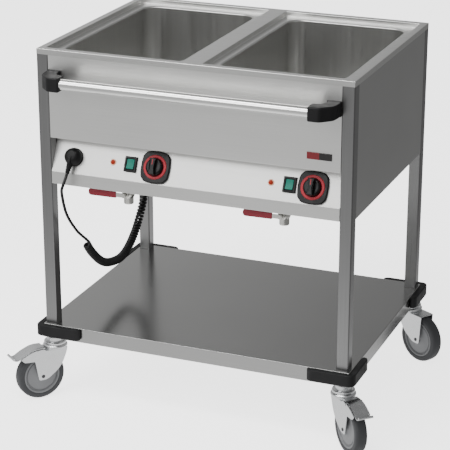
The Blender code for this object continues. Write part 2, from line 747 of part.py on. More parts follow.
def tube(name, route, radius, resolution, material):
    """A curve with a round bevel and filled caps."""
    curve = bpy.data.curves.new(name, "CURVE")
    curve.dimensions = "3D"
    curve.bevel_depth = radius
    curve.bevel_resolution = resolution
    curve.use_fill_caps = True
    spline = curve.splines.new("POLY")
    spline.points.add(len(route) - 1)
    for point, place in zip(spline.points, route):
        point.co = (*place, 1.0)
    curve.materials.append(material)
    piece = bpy.data.objects.new(name, curve)
    bpy.context.scene.collection.objects.link(piece)


def make_lead():
    """The parked plug and its dummy socket, the straight tail, the curly stretch and the gland."""
    plug_frame = on_slope(PLUG_X) @ Matrix.Rotation(PLUG_TURN, 4, "Z")
    pin_x, pin_radius, pin_length = 0.0095, 0.0024, 0.017
    socket = add(
        "parking_socket",
        rod(SOCKET_RADIUS, GAP, SOCKET_FLANGE, 28),
        finish("black socket", BLACK, 0.5),
        plug_frame,
    )
    join(socket, rod(SOCKET_RADIUS - 0.003, -0.022, 0.001, 28))
    base = SOCKET_FLANGE + GAP
    plug = add(
        "plug",
        turned(
            [(0.0, base), (PLUG_RADIUS, base), (PLUG_RADIUS, base + 0.010), (PLUG_RADIUS - 0.003, base + 0.018),
             (PLUG_RADIUS - 0.009, PLUG_BODY_DEPTH), (0.0, PLUG_BODY_DEPTH + 0.001)],
            28,
        ),
        finish("black plug", BLACK, 0.5),
        plug_frame,
    )
    boot = moved(rod(0.0075, -BOOT_REACH, -0.008, 16, "Y"), z=BOOT_LIFT)
    for vert in boot.verts:
        narrowing = 1.0 - 0.40 * (-vert.co.y - 0.008) / (BOOT_REACH - 0.008)
        vert.co.x *= narrowing
        vert.co.z = BOOT_LIFT + (vert.co.z - BOOT_LIFT) * narrowing
    join(plug, boot)
    for side in SIDES.values():
        join(plug, moved(rod(pin_radius, base - pin_length, base + 0.002, 12), x=side * pin_x))
        cut(socket, moved(rod(pin_radius + GAP, -0.020, 0.01, 12), x=side * pin_x))
    tail_start = plug_frame @ Vector((0.0, -BOOT_REACH - GAP, BOOT_LIFT))
    first_bend = plug_frame @ Vector((0.0, -BOOT_REACH - 0.010, BOOT_LIFT))
    mouth = Vector((GLAND_X, GLAND_Y, BODY_BOTTOM - GLAND_DROP - GAP))
    end = Vector(CURL_END)
    into_curl = (end - Vector(CURL_ROUTE[-1])).normalized()
    tube(
        "cord_curl",
        smooth_route([mouth, *CURL_ROUTE, end], 0.018),
        CURL_RADIUS,
        3,
        finish("black curly cord", BLACK, 0.5),
    )
    tube(
        "cord_tail",
        smooth_route([tail_start, first_bend, *TAIL_ROUTE, end + into_curl * GAP], 0.010),
        CORD_RADIUS,
        2,
        finish("black cord", BLACK, 0.5),
    )
    gland = add(
        "cable_gland",
        rod(GLAND_RADIUS + 0.002, -GLAND_DROP, -GAP, 6),
        finish("black gland", BLACK, 0.45),
        Matrix.Translation((GLAND_X, GLAND_Y, BODY_BOTTOM)),
    )
    join(gland, rod(GLAND_RADIUS, -0.004, PAN_TOP - BODY_BOTTOM + 0.008, 20))
    add(
        "terminal_block",
        block((-0.030, -0.012, PAN_TOP + GAP), (0.030, 0.012, PAN_TOP + 0.022)),
        finish("terminal block", (0.7, 0.68, 0.6), 0.5),
        Matrix.Translation((GLAND_X + 0.060, GLAND_Y - 0.045, 0.0)),
    )


# ---- Casters ---------------------------------------------------------------------------------------
# In a caster's own frame +X trails behind the swivel axis, +Y runs along the axle and z = 0 is the floor.
TRAIL = {
    "front_left": (-0.613, -0.788),
    "front_right": (0.690, -0.722),
    "rear_left": (-0.300, 0.954),
    "rear_right": (0.870, -0.500),
}


def make_stem(name, place):
    """The fixed part of a caster: stem in the leg, collar, ball-race cup and kingpin."""
    low = CROWN_BOTTOM - 0.006
    cup_bottom = RACE_TOP + GAP
    add(
        f"caster_stem_{name}",
        turned(
            [(0.0, low), (0.009, low), (0.009, CROWN_BOTTOM - GAP), (KINGPIN_RADIUS, CROWN_BOTTOM - GAP),
             (KINGPIN_RADIUS, cup_bottom), (CUP_RADIUS, cup_bottom), (CUP_RADIUS, CUP_TOP - 0.002),
             (CUP_RADIUS - 0.002, CUP_TOP), (COLLAR_RADIUS, CUP_TOP), (COLLAR_RADIUS, COLLAR_TOP),
             (STEM_RADIUS, COLLAR_TOP), (STEM_RADIUS, SHELF_TOP + STEM_HEIGHT), (0.0, SHELF_TOP + STEM_HEIGHT)],
            28,
        ),
        finish(f"zinc-plated stem {name}", (0.7, 0.7, 0.69), 0.25, 1.0),
        place,
    )


# From the pedal's pivot: the wing that a braked fork's plate carries beside the pedal.
WING = [(0.012, -0.0245), (0.026, -0.0238), (0.040, -0.0220), (0.049, -0.0125), (0.038, -0.0065), (0.026, -0.0010),
        (0.0125, 0.0030), (-0.002, 0.0042), (-0.014, 0.0040)]


def fork_outline(braked):
    """The side of a fork: from the crown it narrows down round the axle."""
    crown_top = CROWN_BOTTOM + CROWN_SHEET
    foot = WHEEL_RADIUS - 0.010
    outline = [
        (-0.024, crown_top),
        (-0.0215, CROWN_BOTTOM - 0.0105),
        (-0.010, CROWN_BOTTOM - 0.0375),
        (0.004, WHEEL_RADIUS + 0.010),
        (CASTER_OFFSET - 0.0115, foot),
        (CASTER_OFFSET + 0.0115, foot),
    ]
    if not braked:
        return outline + [(CASTER_OFFSET + 0.018, CROWN_BOTTOM), (CASTER_OFFSET + 0.018, crown_top)]
    pivot_x, pivot_z = PEDAL_PIVOT
    return outline + [(pivot_x + x, pivot_z + z) for x, z in WING] + [(0.034, crown_top)]


def make_fork(name, empty, braked):
    """A pressed fork: a crown under the ball race, two side plates and the riveted axle."""
    outside = FORK_INSIDE + FORK_PLATE
    crown_end = 0.034 if braked else CASTER_OFFSET + 0.018
    crown_top = CROWN_BOTTOM + CROWN_SHEET
    fork = add(
        f"fork_{name}",
        prism(fork_outline(braked), -outside, outside, "Y"),
        finish(f"zinc-plated fork {name}", (0.7, 0.7, 0.69), 0.3, 1.0),
        parent=empty,
    )
    below, beyond = 0.0, 0.2
    cut(fork, block((-beyond, -FORK_INSIDE, below), (beyond, FORK_INSIDE, CROWN_BOTTOM)))
    if braked:
        cut(fork, block((crown_end, -FORK_INSIDE, below), (beyond, FORK_INSIDE, beyond)))
        pivot_hole = moved(rod(0.0028, -0.1, 0.1, 16, "Y"), x=PEDAL_PIVOT[0], z=PEDAL_PIVOT[1])
        cut(fork, pivot_hole)
    race = turned(
        [(0.0, CROWN_BOTTOM + 0.001), (RACE_RADIUS - 0.003, CROWN_BOTTOM + 0.001), (RACE_RADIUS, crown_top + 0.001),
         (RACE_RADIUS, RACE_TOP - 0.003), (RACE_RADIUS - 0.003, RACE_TOP), (0.0, RACE_TOP)],
        28,
    )
    axle = moved(rod(AXLE_RADIUS, -outside - 0.002, outside + 0.002, 16, "Y"), x=CASTER_OFFSET, z=WHEEL_RADIUS)
    join(fork, race, axle)
    cut(fork, rod(KINGPIN_RADIUS + GAP, CROWN_BOTTOM - 0.01, RACE_TOP + 0.01, 28))


def make_wheel(name, empty):
    """A grey tyre on a moulded rim, turning on the axle."""
    edge = WHEEL_RADIUS / math.cos(math.pi / WHEEL_SIDES)
    half = WHEEL_WIDTH / 2
    hub = FORK_INSIDE - 0.001
    bore = AXLE_RADIUS + GAP
    right = [(edge, half - 0.005), (edge - 0.003, half - 0.0005), (0.050, half - 0.001), (0.047, half - 0.004),
             (0.014, half - 0.006), (0.012, hub), (bore, hub)]
    left = [(r, -h) for r, h in reversed(right)]
    add(
        f"wheel_{name}",
        turned(right + left, WHEEL_SIDES, "Y", math.pi / WHEEL_SIDES),
        finish(f"grey rubber wheel {name}", (0.09, 0.09, 0.095), 0.6),
        Matrix.Translation((CASTER_OFFSET, 0.0, WHEEL_RADIUS)),
        empty,
    )


def make_pedal(name, empty):
    """A brake pedal: a pressed channel that pivots between the fork's plates."""
    pivot_x, pivot_z = PEDAL_PIVOT
    half = PEDAL_WIDTH / 2
    top = [(-0.018, 0.0065), (0.000, 0.0080), (0.013, 0.0062), (0.024, 0.0022), (0.036, -0.0035), (0.048, -0.0100),
           (0.057, -0.0128), (0.064, -0.0112), (0.070, -0.0062)]
    under = [(x, z - PEDAL_SHEET) for x, z in reversed(top)]
    pedal = add(
        f"brake_pedal_{name}",
        prism(top + under, -half, half, "Y"),
        finish(f"zinc-plated pedal {name}", (0.7, 0.7, 0.69), 0.3, 1.0),
        Matrix.Translation((pivot_x, 0.0, pivot_z)),
        empty,
    )
    cheek = [(-0.0155, 0.0055), (0.000, 0.0070), (0.013, 0.0052), (0.024, 0.0012), (0.036, -0.0045), (0.045, -0.0095),
             (0.039, -0.0190), (0.014, -0.0205), (-0.004, -0.007), (-0.0155, -0.0035)]
    for side in SIDES.values():
        walls = sorted((side * half, side * (half - PEDAL_SHEET + 0.0003)))
        join(pedal, prism(cheek, *walls, "Y"))
    join(pedal, rod(0.0025, -FORK_INSIDE - FORK_PLATE - 0.001, FORK_INSIDE + FORK_PLATE + 0.001, 12, "Y"))


def make_casters():
    for name, (sx, sy) in CORNERS.items():
        braked = name.startswith("front")
        swivel = Matrix.Translation((sx * LEG_X, sy * LEG_Y, 0.0))
        empty = bpy.data.objects.new(f"swivel_{name}", None)
        bpy.context.scene.collection.objects.link(empty)
        tx, ty = TRAIL[name]
        empty.matrix_basis = swivel @ Matrix.Rotation(math.atan2(ty, tx), 4, "Z")
        make_stem(name, swivel)
        make_fork(name, empty, braked)
        make_wheel(name, empty)
        if braked:
            make_pedal(name, empty)


make_deck()
make_wells()
make_legs()
make_shelf()
make_bumpers()
make_panels()
make_badge()
make_handle()
for side_name, side_sign in SIDES.items():
    well_x = side_sign * WELL_CENTRE
    make_knob_set(side_name, well_x + KNOB_OFFSET[side_name])
    make_switch(side_name, well_x + SWITCH_OFFSET)
    make_lamp(side_name, well_x + LAMP_OFFSET)
    make_valve(side_name, well_x + DRAIN_OFFSET_X)
make_lead()
make_casters()
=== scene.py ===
"""Looks of a mobile steam table: a stainless trolley with two heated wells for food pans."""

import json
import math

import bmesh
import bpy
import numpy as np
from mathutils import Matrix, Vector


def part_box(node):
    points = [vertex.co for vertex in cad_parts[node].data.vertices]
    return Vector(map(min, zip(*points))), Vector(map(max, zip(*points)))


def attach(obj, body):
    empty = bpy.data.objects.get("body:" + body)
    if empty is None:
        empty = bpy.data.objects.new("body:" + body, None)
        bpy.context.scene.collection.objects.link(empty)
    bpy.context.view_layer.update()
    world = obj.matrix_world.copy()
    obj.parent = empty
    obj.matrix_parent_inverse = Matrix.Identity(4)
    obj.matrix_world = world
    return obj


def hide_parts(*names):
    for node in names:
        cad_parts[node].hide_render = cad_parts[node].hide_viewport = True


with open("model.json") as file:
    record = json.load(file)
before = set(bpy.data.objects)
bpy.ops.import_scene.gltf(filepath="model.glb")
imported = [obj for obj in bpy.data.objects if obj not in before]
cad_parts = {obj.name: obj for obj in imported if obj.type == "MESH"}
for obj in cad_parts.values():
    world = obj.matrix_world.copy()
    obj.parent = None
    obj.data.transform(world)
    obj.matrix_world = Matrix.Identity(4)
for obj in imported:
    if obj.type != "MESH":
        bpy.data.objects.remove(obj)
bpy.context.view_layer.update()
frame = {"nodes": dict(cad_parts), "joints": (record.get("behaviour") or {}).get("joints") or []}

# ---- Camera --------------------------------------------------------------------------------------
# A long lens from the operator's right, looking down on the deck. The trolley stands square to the
# frame, and the view is turned 22 degrees round it.
view = bpy.data.cameras.new("camera")
view.lens = 141.4
view.sensor_width = 36.0
camera = bpy.data.objects.new("camera", view)
bpy.context.scene.collection.objects.link(camera)
camera.location = (1.5366, -3.8978, 1.9461)
camera.rotation_euler = (math.radians(90 - 20.154), 0.0, math.radians(21.945))
bpy.context.scene.camera = camera

# ---- Mains lead ----------------------------------------------------------------------------------
# One PVC-sheathed 7.4 mm flex. It leaves a gland in the bottom pan as a tight curl that hangs in an
# arc, and runs on as a straight tail to the parked plug. The curl is wound hot on a mandrel.
CORD_RADIUS = 0.0037
WINDING_RADIUS = 0.0078
TIGHT_PITCH, LOOSER_AT_TOP = 0.0078, 0.0030
TURNS_BEGIN, TURNS_END = (0.010, 0.028), 0.022
SWING_OUT = (0.004, 0.024)
PART_TURN = 0.25
TURN_STEP, TAIL_STEP = 0.0030, 0.006
TAIL_EASE = 12
GLAND = np.array([-0.3255, 0.1520, 0.5665])
GLAND_DROP = 0.0223
CURL_ROUTE = [
    (-0.3255, 0.1520, 0.4900),
    (-0.3258, 0.1515, 0.4400),
    (-0.3275, 0.1490, 0.3950),
    (-0.3300, 0.1400, 0.3640),
    (-0.3310, 0.1230, 0.3385),
    (-0.3300, 0.0920, 0.3100),
    (-0.3280, 0.0450, 0.2850),
    (-0.3275, -0.0030, 0.2745),
    (-0.3290, -0.0630, 0.2830),
    (-0.3330, -0.1050, 0.3010),
    (-0.3390, -0.1450, 0.3380),
    (-0.3405, -0.1760, 0.3760),
]
TAIL_ROUTE = [
    (-0.3415, -0.2120, 0.4144),
    (-0.3440, -0.2310, 0.4360),
    (-0.3455, -0.2500, 0.4592),
    (-0.3445, -0.2680, 0.4830),
    (-0.3410, -0.2850, 0.5080),
    (-0.3350, -0.3040, 0.5360),
    (-0.3290, -0.3180, 0.5520),
    (-0.3240, -0.3280, 0.5650),
    (-0.3195, -0.3260, 0.5800),
]


def unit(vectors):
    """Each vector divided by its own length."""
    return vectors / np.maximum(np.linalg.norm(vectors, axis=-1, keepdims=True), 1e-12)


def run_along(line):
    """The length of a line up to each of its points."""
    return np.concatenate([[0.0], np.cumsum(np.linalg.norm(np.diff(line, axis=0), axis=1))])


def smooth_route(route, spacing):
    """Catmull-Rom curve through the route: between b and c it is the cubic whose slopes at its ends
    are half of c - a and half of d - b. It is read at equal steps of length."""
    route = np.asarray(route, float)
    padded = np.vstack([2 * route[0] - route[1], route, 2 * route[-1] - route[-2]])
    a, b, c, d = (padded[k : k + len(route) - 1, None] for k in range(4))
    t = np.linspace(0, 1, 24, endpoint=False)[None, :, None]
    curve = b + 0.5 * t * (c - a + t * (2 * a - 5 * b + 4 * c - d + t * (3 * (b - c) + d - a)))
    curve = np.vstack([curve.reshape(-1, 3), route[-1]])
    run = run_along(curve)
    even = np.linspace(0, run[-1], max(2, round(run[-1] / spacing)) + 1)
    return np.stack([np.interp(even, run, curve[:, k]) for k in range(3)], axis=1)


def grid_faces(rows, columns, close_rows=False, close_columns=True):
    """Quads of a grid: point (i, j) joins (i, j + 1), (i + 1, j + 1) and (i + 1, j)."""
    i = np.arange(rows if close_rows else rows - 1)[:, None]
    j = np.arange(columns if close_columns else columns - 1)[None, :]
    down, right = (i + 1) % rows, (j + 1) % columns
    corners = (i * columns + j, i * columns + right, down * columns + right, down * columns + j)
    return np.stack(corners, axis=-1).reshape(-1, 4).tolist()


def lofted(rings, closed=False):
    """Rings of equal count joined in order. The ends are capped, or the last ring joins the first."""
    rings = np.asarray(rings, float)
    rows, columns = rings.shape[:2]
    faces = grid_faces(rows, columns, close_rows=closed)
    if not closed:
        faces += [list(range(columns)), list(range((rows - 1) * columns, rows * columns))]
    return rings.reshape(-1, 3), faces


def tube(path, radius, sides, lean):
    """A circle carried along a path. Its plane is square to the path, and its first direction is the
    part of the vectors in lean that lies in that plane."""
    path = np.asarray(path, float)
    along = unit(np.gradient(path, axis=0))
    lean = np.broadcast_to(np.asarray(lean, float), path.shape)
    first = unit(lean - along * (lean * along).sum(axis=1, keepdims=True))
    second = np.cross(along, first)
    angle = np.linspace(0, 2 * math.pi, sides, endpoint=False)[None, :, None]
    reach = np.broadcast_to(np.asarray(radius, float), len(path))[:, None, None]
    return lofted(path[:, None] + reach * (np.cos(angle) * first[:, None] + np.sin(angle) * second[:, None]))


def piece(name, shapes, body, node=None, finish=None, sharp=32):
    """One object from its closed shapes. Equal points are merged, and faces are turned outwards."""
    points, faces, start = [], [], 0
    for shape_points, shape_faces in shapes:
        points.append(shape_points)
        faces += [[start + k for k in face] for face in shape_faces]
        start += len(shape_points)
    mesh = bpy.data.meshes.new(name)
    mesh.from_pydata(np.vstack(points).tolist(), [], faces)
    shape = bmesh.new()
    shape.from_mesh(mesh)
    bmesh.ops.remove_doubles(shape, verts=shape.verts, dist=1e-6)
    bmesh.ops.dissolve_degenerate(shape, edges=shape.edges, dist=1e-7)
    bmesh.ops.recalc_face_normals(shape, faces=shape.faces)
    shape.to_mesh(mesh)
    shape.free()
    mesh.shade_smooth()
    mesh.set_sharp_from_angle(angle=math.radians(sharp))
    made = bpy.data.objects.new(name, mesh)
    bpy.context.scene.collection.objects.link(made)
    flats = made.modifiers.new("Flat faces stay flat", "WEIGHTED_NORMAL")
    flats.keep_sharp = True
    if finish:
        mesh.materials.append(finish)
    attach(made, body)
    if node:
        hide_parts(node)
    return made


def linear(hex_colour):
    """sRGB hex to linear: c / 12.92 below 0.04045, else ((c + 0.055) / 1.055) to the power 2.4."""
    c = np.array([int(hex_colour[k : k + 2], 16) / 255 for k in (1, 3, 5)])
    return (*np.where(c <= 0.04045, c / 12.92, ((c + 0.055) / 1.055) ** 2.4).tolist(), 1.0)


def node(tree, kind, inputs=None, **settings):
    """Adds a shader node, sets its properties, then sets or links its inputs."""
    made = tree.nodes.new("ShaderNode" + kind)
    for name, value in settings.items():
        setattr(made, name, value)
    for key, value in (inputs or {}).items():
        if isinstance(value, bpy.types.NodeSocket):
            tree.links.new(value, made.inputs[key])
        else:
            made.inputs[key].default_value = value
    return made


def ranged(tree, value, given, wanted):
    """A value carried from the range given to the range wanted, and held at its ends."""
    limits = {"From Min": given[0], "From Max": given[1], "To Min": wanted[0], "To Max": wanted[1]}
    return node(tree, "MapRange", {"Value": value, **limits}).outputs["Result"]


def noise(tree, place, scale, detail):
    """Noise from 0 to 1 with its coarsest features 1 / scale metres apart."""
    return node(tree, "TexNoise", {"Vector": place, "Scale": scale, "Detail": detail}).outputs["Fac"]


def roughen(tree, shader, height, strength, distance):
    """Tilts the shading by the slope of a height."""
    relief = node(tree, "Bump", {"Height": height, "Strength": strength, "Distance": distance})
    tree.links.new(relief.outputs["Normal"], shader.inputs["Normal"])


def finish_of(name, colour, roughness, metallic=0.0, **shader_values):
    """A material with its Principled shader set, its node tree, and Object coordinates."""
    made = bpy.data.materials.new(name)
    made.use_nodes = True
    tree = made.node_tree
    shader = tree.nodes["Principled BSDF"]
    shader.inputs["Base Color"].default_value = linear(colour)
    shader.inputs["Roughness"].default_value = roughness
    shader.inputs["Metallic"].default_value = metallic
    for key, value in shader_values.items():
        shader.inputs[key.replace("_", " ")].default_value = value
    return made, tree, shader, node(tree, "TexCoord").outputs["Object"]


def moulded(name, colour, roughness, grain_mm=0.9, depth=0.04, **shader_values):
    """Moulded plastic or rubber: a fine spark-eroded grain, and gloss that wears a little unevenly."""
    made, tree, shader, place = finish_of(name, colour, roughness, **shader_values)
    grain = noise(tree, place, 1000 / grain_mm, 2.0)
    gloss = ranged(tree, noise(tree, place, 45.0, 3.0), (0.3, 0.7), (roughness - 0.06, roughness + 0.08))
    tree.links.new(gloss, shader.inputs["Roughness"])
    roughen(tree, shader, grain, depth, 0.0004)
    return made


# Black PVC is satin, with a gloss that varies a little along the lead.
cord_sheath = moulded("black PVC sheath", "#0f0f10", 0.4, grain_mm=1.4, Specular_IOR_Level=0.45)

joints = {joint["name"]: joint for joint in frame["joints"]}
knob_left = np.array(joints["thermostat_knob_left"]["pos_m"])
SLOPE_OUT = -np.array(joints["thermostat_knob_left"]["axis"])
SLOPE_RIGHT = np.array([1.0, 0.0, 0.0])
SLOPE_UP = np.cross(SLOPE_OUT, SLOPE_RIGHT)


def on_slope(points, x, turn=0.0):
    """Points of a control, given along the panel, up the slope and out of it, turned about the way
    out and put at its place on the line of the controls."""
    right = math.cos(turn) * SLOPE_RIGHT + math.sin(turn) * SLOPE_UP
    up = np.cross(SLOPE_OUT, right)
    origin = np.array([x, knob_left[1], knob_left[2]])
    return origin + np.asarray(points, float) @ np.stack([right, up, SLOPE_OUT])


PLUG_X = -0.311
PLUG_TURN = math.radians(-8)
BOOT_LIFT = 0.016
BOOT_REACH = 0.044
boot_end = on_slope([(0, -BOOT_REACH - 0.0003, BOOT_LIFT), (0, -BOOT_REACH - 0.010, BOOT_LIFT)], PLUG_X, PLUG_TURN)
gland_mouth = GLAND - (0, 0, GLAND_DROP)

# The winding follows the arc's own line: each turn advances by the pitch, which is wider at the top,
# where the curl carries the weight below it.
curl_line = smooth_route([gland_mouth, *CURL_ROUTE], 0.0005)
curl_run = run_along(curl_line)
pitch = TIGHT_PITCH + LOOSER_AT_TOP * (1 - curl_run / curl_run[-1]) ** 2


def eased(value, start, end):
    """From 0 at start to 1 at end, as 3 t ** 2 - 2 t ** 3."""
    t = np.clip((value - start) / (end - start), 0, 1)
    return t * t * (3 - 2 * t)


# It leaves the gland straight, swings out to the winding, and at the far end unwinds along its own
# upper side before it runs on as the tail.
unwound = eased(curl_run, curl_run[-1] - TURNS_END, curl_run[-1])
rate = eased(curl_run, *TURNS_BEGIN) * (1 - unwound) / pitch
turns = np.concatenate([[0.0], np.cumsum(np.diff(curl_run) * (rate[1:] + rate[:-1]) / 2)])
turns *= (round(turns[-1]) + PART_TURN) / turns[-1]
steps_round = np.hypot(np.diff(curl_run), 2 * math.pi * WINDING_RADIUS * np.diff(turns))
travel = np.concatenate([[0.0], np.cumsum(steps_round)])
even_travel = np.linspace(0, travel[-1], round(travel[-1] / TURN_STEP) + 1)
reached = np.interp(even_travel, travel, curl_run)
wind = 2 * math.pi * np.interp(even_travel, travel, turns)[:, None]
centre = np.stack([np.interp(reached, curl_run, curl_line[:, k]) for k in range(3)], axis=1)
heading = unit(np.gradient(curl_line, axis=0))
heading = unit(np.stack([np.interp(reached, curl_run, heading[:, k]) for k in range(3)], axis=1))
sideways = unit(np.array([1.0, 0.0, 0.0]) - heading * heading[:, :1])
across = np.cross(heading, sideways)
outward = np.cos(wind) * sideways + np.sin(wind) * across
winding = centre + WINDING_RADIUS * eased(reached, *SWING_OUT)[:, None] * outward
tail = smooth_route([winding[-1], *TAIL_ROUTE, *boot_end[::-1]], TAIL_STEP)[1:]
lead_path = np.vstack([winding, tail])
tail_share = eased(np.arange(len(tail)), 0, TAIL_EASE)[:, None]
tail_lean = (1 - tail_share) * outward[-1] + tail_share * np.array([1.0, 0.0, 0.0])
lead_lean = np.vstack([outward, tail_lean])
lead = piece("mains_lead", [tube(lead_path, CORD_RADIUS, 10, lead_lean)], "frame", finish=cord_sheath)
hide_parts("cord_curl", "cord_tail")


# ---- Plug and parking socket ---------------------------------------------------------------------
# A round rewirable plug moulded in black rubber, with a side entry whose ribbed boot takes the strain
# off the flex. It is parked in a dummy outlet, so that it does not trail while the trolley rolls.
def rounded(corners, radius, steps=4, closed=False):
    """A line through corners whose bends are rounded: each is a parabola that leaves its side one
    radius before the corner. A radius of 0 keeps the corner, and an open line's ends are kept."""
    corners = np.asarray(corners, float)
    before, after = np.roll(corners, 1, axis=0) - corners, np.roll(corners, -1, axis=0) - corners
    reach = np.array(np.broadcast_to(np.asarray(radius, float), len(corners)))
    if not closed:
        reach[[0, -1]] = 0.0
    longest = 0.49 * np.minimum(np.linalg.norm(before, axis=1), np.linalg.norm(after, axis=1))
    reach = np.minimum(reach, longest)[:, None, None]
    t = np.linspace(0, 1, steps + 1)[None, :, None]
    line = corners[:, None] + reach * ((1 - t) ** 2 * unit(before)[:, None] + t * t * unit(after)[:, None])
    line = line.reshape(-1, corners.shape[1])
    kept = np.linalg.norm(np.roll(line, -1, axis=0) - line, axis=1) > 1e-7
    kept[-1] |= not closed
    return line[kept]


def turned(profile, sides=48):
    """A profile of radius and height spun round the height axis, on a lathe."""
    profile = np.asarray(profile, float)
    angle = np.linspace(0, 2 * math.pi, sides, endpoint=False)[None, :]
    reach, height = profile[:, :1], profile[:, 1:]
    return lofted(np.stack([reach * np.cos(angle), reach * np.sin(angle), height + 0 * angle], axis=-1))


def moved(shape, place):
    """A shape with a function of its points applied."""
    return place(shape[0]), shape[1]


def cover(finish, *names):
    """Gives CAD nodes that are kept as they are a finish."""
    for name in names:
        frame["nodes"][name].data.materials.clear()
        frame["nodes"][name].data.materials.append(finish)


PLUG_BASE = 0.0023


def in_plug(points):
    """The plug's own frame: x along the panel, y up the slope and z out of it, turned a little."""
    return on_slope(points, PLUG_X, PLUG_TURN)


# Moulded rubber is matte and close to black.
plug_rubber = moulded("black moulded rubber", "#0f0f10", 0.45, grain_mm=1.1, Specular_IOR_Level=0.25)
plug_side = rounded(
    [(0.0, PLUG_BASE), (0.0215, PLUG_BASE), (0.0215, 0.0125), (0.0185, 0.0205), (0.0125, 0.0262), (0.0, 0.0272)],
    [0, 0.001, 0.003, 0.004, 0.004, 0],
)
boot_line = np.linspace([0.0, -0.004, BOOT_LIFT], [0.0, -BOOT_REACH, BOOT_LIFT], 60)
boot_share = np.linspace(0, 1, 60)
boot_ribs = 0.0006 * (np.sin(2 * math.pi * 7 * boot_share) > 0) * (boot_share > 0.35)
boot_radius = 0.0098 - 0.0052 * boot_share**0.8 + boot_ribs
grip = rounded([(-0.0045, -0.020), (0.0045, -0.020), (0.0045, 0.0), (-0.0045, 0.0)], 0.003, closed=True)
grip_rings = [np.column_stack([grip * k, np.full(len(grip), h)]) for k, h in ((1, 0.018), (1, 0.0265), (0.7, 0.0283))]
plug = piece(
    "mains_plug",
    [moved(turned(plug_side), in_plug),
     moved(tube(boot_line, boot_radius, 24, (1.0, 0.0, 0.0)), in_plug),
     moved(lofted(grip_rings), in_plug)],
    "frame", "plug", plug_rubber,
)
cover(plug_rubber, "parking_socket")

# ---- Stainless steel sheet -----------------------------------------------------------------------
# Every sheet piece is 18/10 stainless, 1 to 1.5 mm thick, ground with a 240 grit belt. The eye sees a
# soft reflection drawn out along the grain, and hair lines of slightly different gloss.


def brushed(name, colour, roughness, grain, streak=0.10, tone=0.06, relief=0.05):
    """Belt-ground stainless. Grain is how often the hair lines change per metre along each axis: they
    are drawn at about 1 mm, coarser than the real 0.1 mm, so that they show."""
    made, tree, shader, place = finish_of(name, colour, roughness, metallic=1.0)
    stretched = node(tree, "Mapping", {"Vector": place, "Scale": grain})
    lines = noise(tree, stretched.outputs["Vector"], 1.0, 3.0)
    clouds = noise(tree, place, 5.0, 2.0)
    gloss = ranged(tree, lines, (0.25, 0.75), (roughness - streak, roughness + streak))
    shade = ranged(tree, lines, (0.25, 0.75), (1 - tone, 1 + tone))
    drift = ranged(tree, clouds, (0.3, 0.7), (1 - tone, 1.0))
    both = node(tree, "Math", {0: shade, 1: drift}, operation="MULTIPLY")
    tint = node(tree, "VectorMath", {0: linear(colour)[:3], "Scale": both.outputs["Value"]}, operation="SCALE")
    tree.links.new(tint.outputs["Vector"], shader.inputs["Base Color"])
    tree.links.new(gloss, shader.inputs["Roughness"])
    if relief:
        roughen(tree, shader, lines, relief, 0.0003)
    return made


ALONG_X, ALONG_Z = (3.0, 900.0, 900.0), (900.0, 900.0, 3.0)
SHEET = 0.0012
FOLD = 0.0016


def corner_ring(x, y, radius, z, steps=6):
    """Points round a rectangle from x[0] to x[1] and y[0] to y[1], with quarter circles for corners,
    counted from the corner where both are largest."""
    radius = np.broadcast_to(np.asarray(radius, float), 4)[:, None]
    angle = math.pi / 2 * (np.arange(4)[:, None] + np.linspace(0, 1, steps + 1)[None, :])
    along = np.array([x[1], x[0], x[0], x[1]])[:, None] + radius * np.array([-1, 1, 1, -1])[:, None]
    back = np.array([y[1], y[1], y[0], y[0]])[:, None] + radius * np.array([-1, -1, 1, 1])[:, None]
    ring = np.stack([along + radius * np.cos(angle), back + radius * np.sin(angle)], axis=-1).reshape(-1, 2)
    return np.column_stack([ring, np.full(len(ring), z)])


def bend(start, corner, end, steps=4):
    """Values along a fold: each goes from start to end as a parabola that heads for corner first."""
    t = np.linspace(0, 1, steps + 1)[:, None]
    start, corner, end = (np.asarray(v, float) for v in (start, corner, end))
    return ((1 - t) ** 2 * start + 2 * t * (1 - t) * corner + t * t * end).tolist()


# ---- Deck ----------------------------------------------------------------------------------------
# One sheet folded into a raised rim and a divider, with a sunk ledge round each well that carries the
# lip of a food pan. The corners are welded and ground flush, and the grain runs left to right.
deck_low, deck_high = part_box("deck")
HALF_W, HALF_D, RIM_TOP, LIP_BOTTOM = deck_high.x, deck_high.y, deck_high.z, deck_low.z
well_low, well_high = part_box("well_right")
LEDGE_TOP, WELL_BOTTOM = well_high.z, well_low.z
WELL_CENTRE = (well_low.x + well_high.x) / 2
WELL_HALF_X, WELL_HALF_Y = (well_high.x - well_low.x) / 2, well_high.y
WELL_RADIUS = 0.0397
RIM, DIVIDER, ROLL = 0.018, 0.047, 0.0040


def deck_ring(kind, inset, z):
    """A ring of the right half deck: the rim runs to the middle line, the recess lies inside the rim
    and the divider, and the opening follows the well. The inset counts inwards."""
    if kind == "rim":
        return corner_ring((0, HALF_W - inset), (-HALF_D + inset, HALF_D - inset), (0.0015, 0, 0, 0.0015), z)
    if kind == "recess":
        x = (DIVIDER / 2 + inset, HALF_W - RIM - inset)
        return corner_ring(x, (-HALF_D + RIM + inset, HALF_D - RIM - inset), 0.0022, z)
    x = (WELL_CENTRE - WELL_HALF_X + inset, WELL_CENTRE + WELL_HALF_X - inset)
    return corner_ring(x, (-WELL_HALF_Y + inset, WELL_HALF_Y - inset), WELL_RADIUS - inset, z)


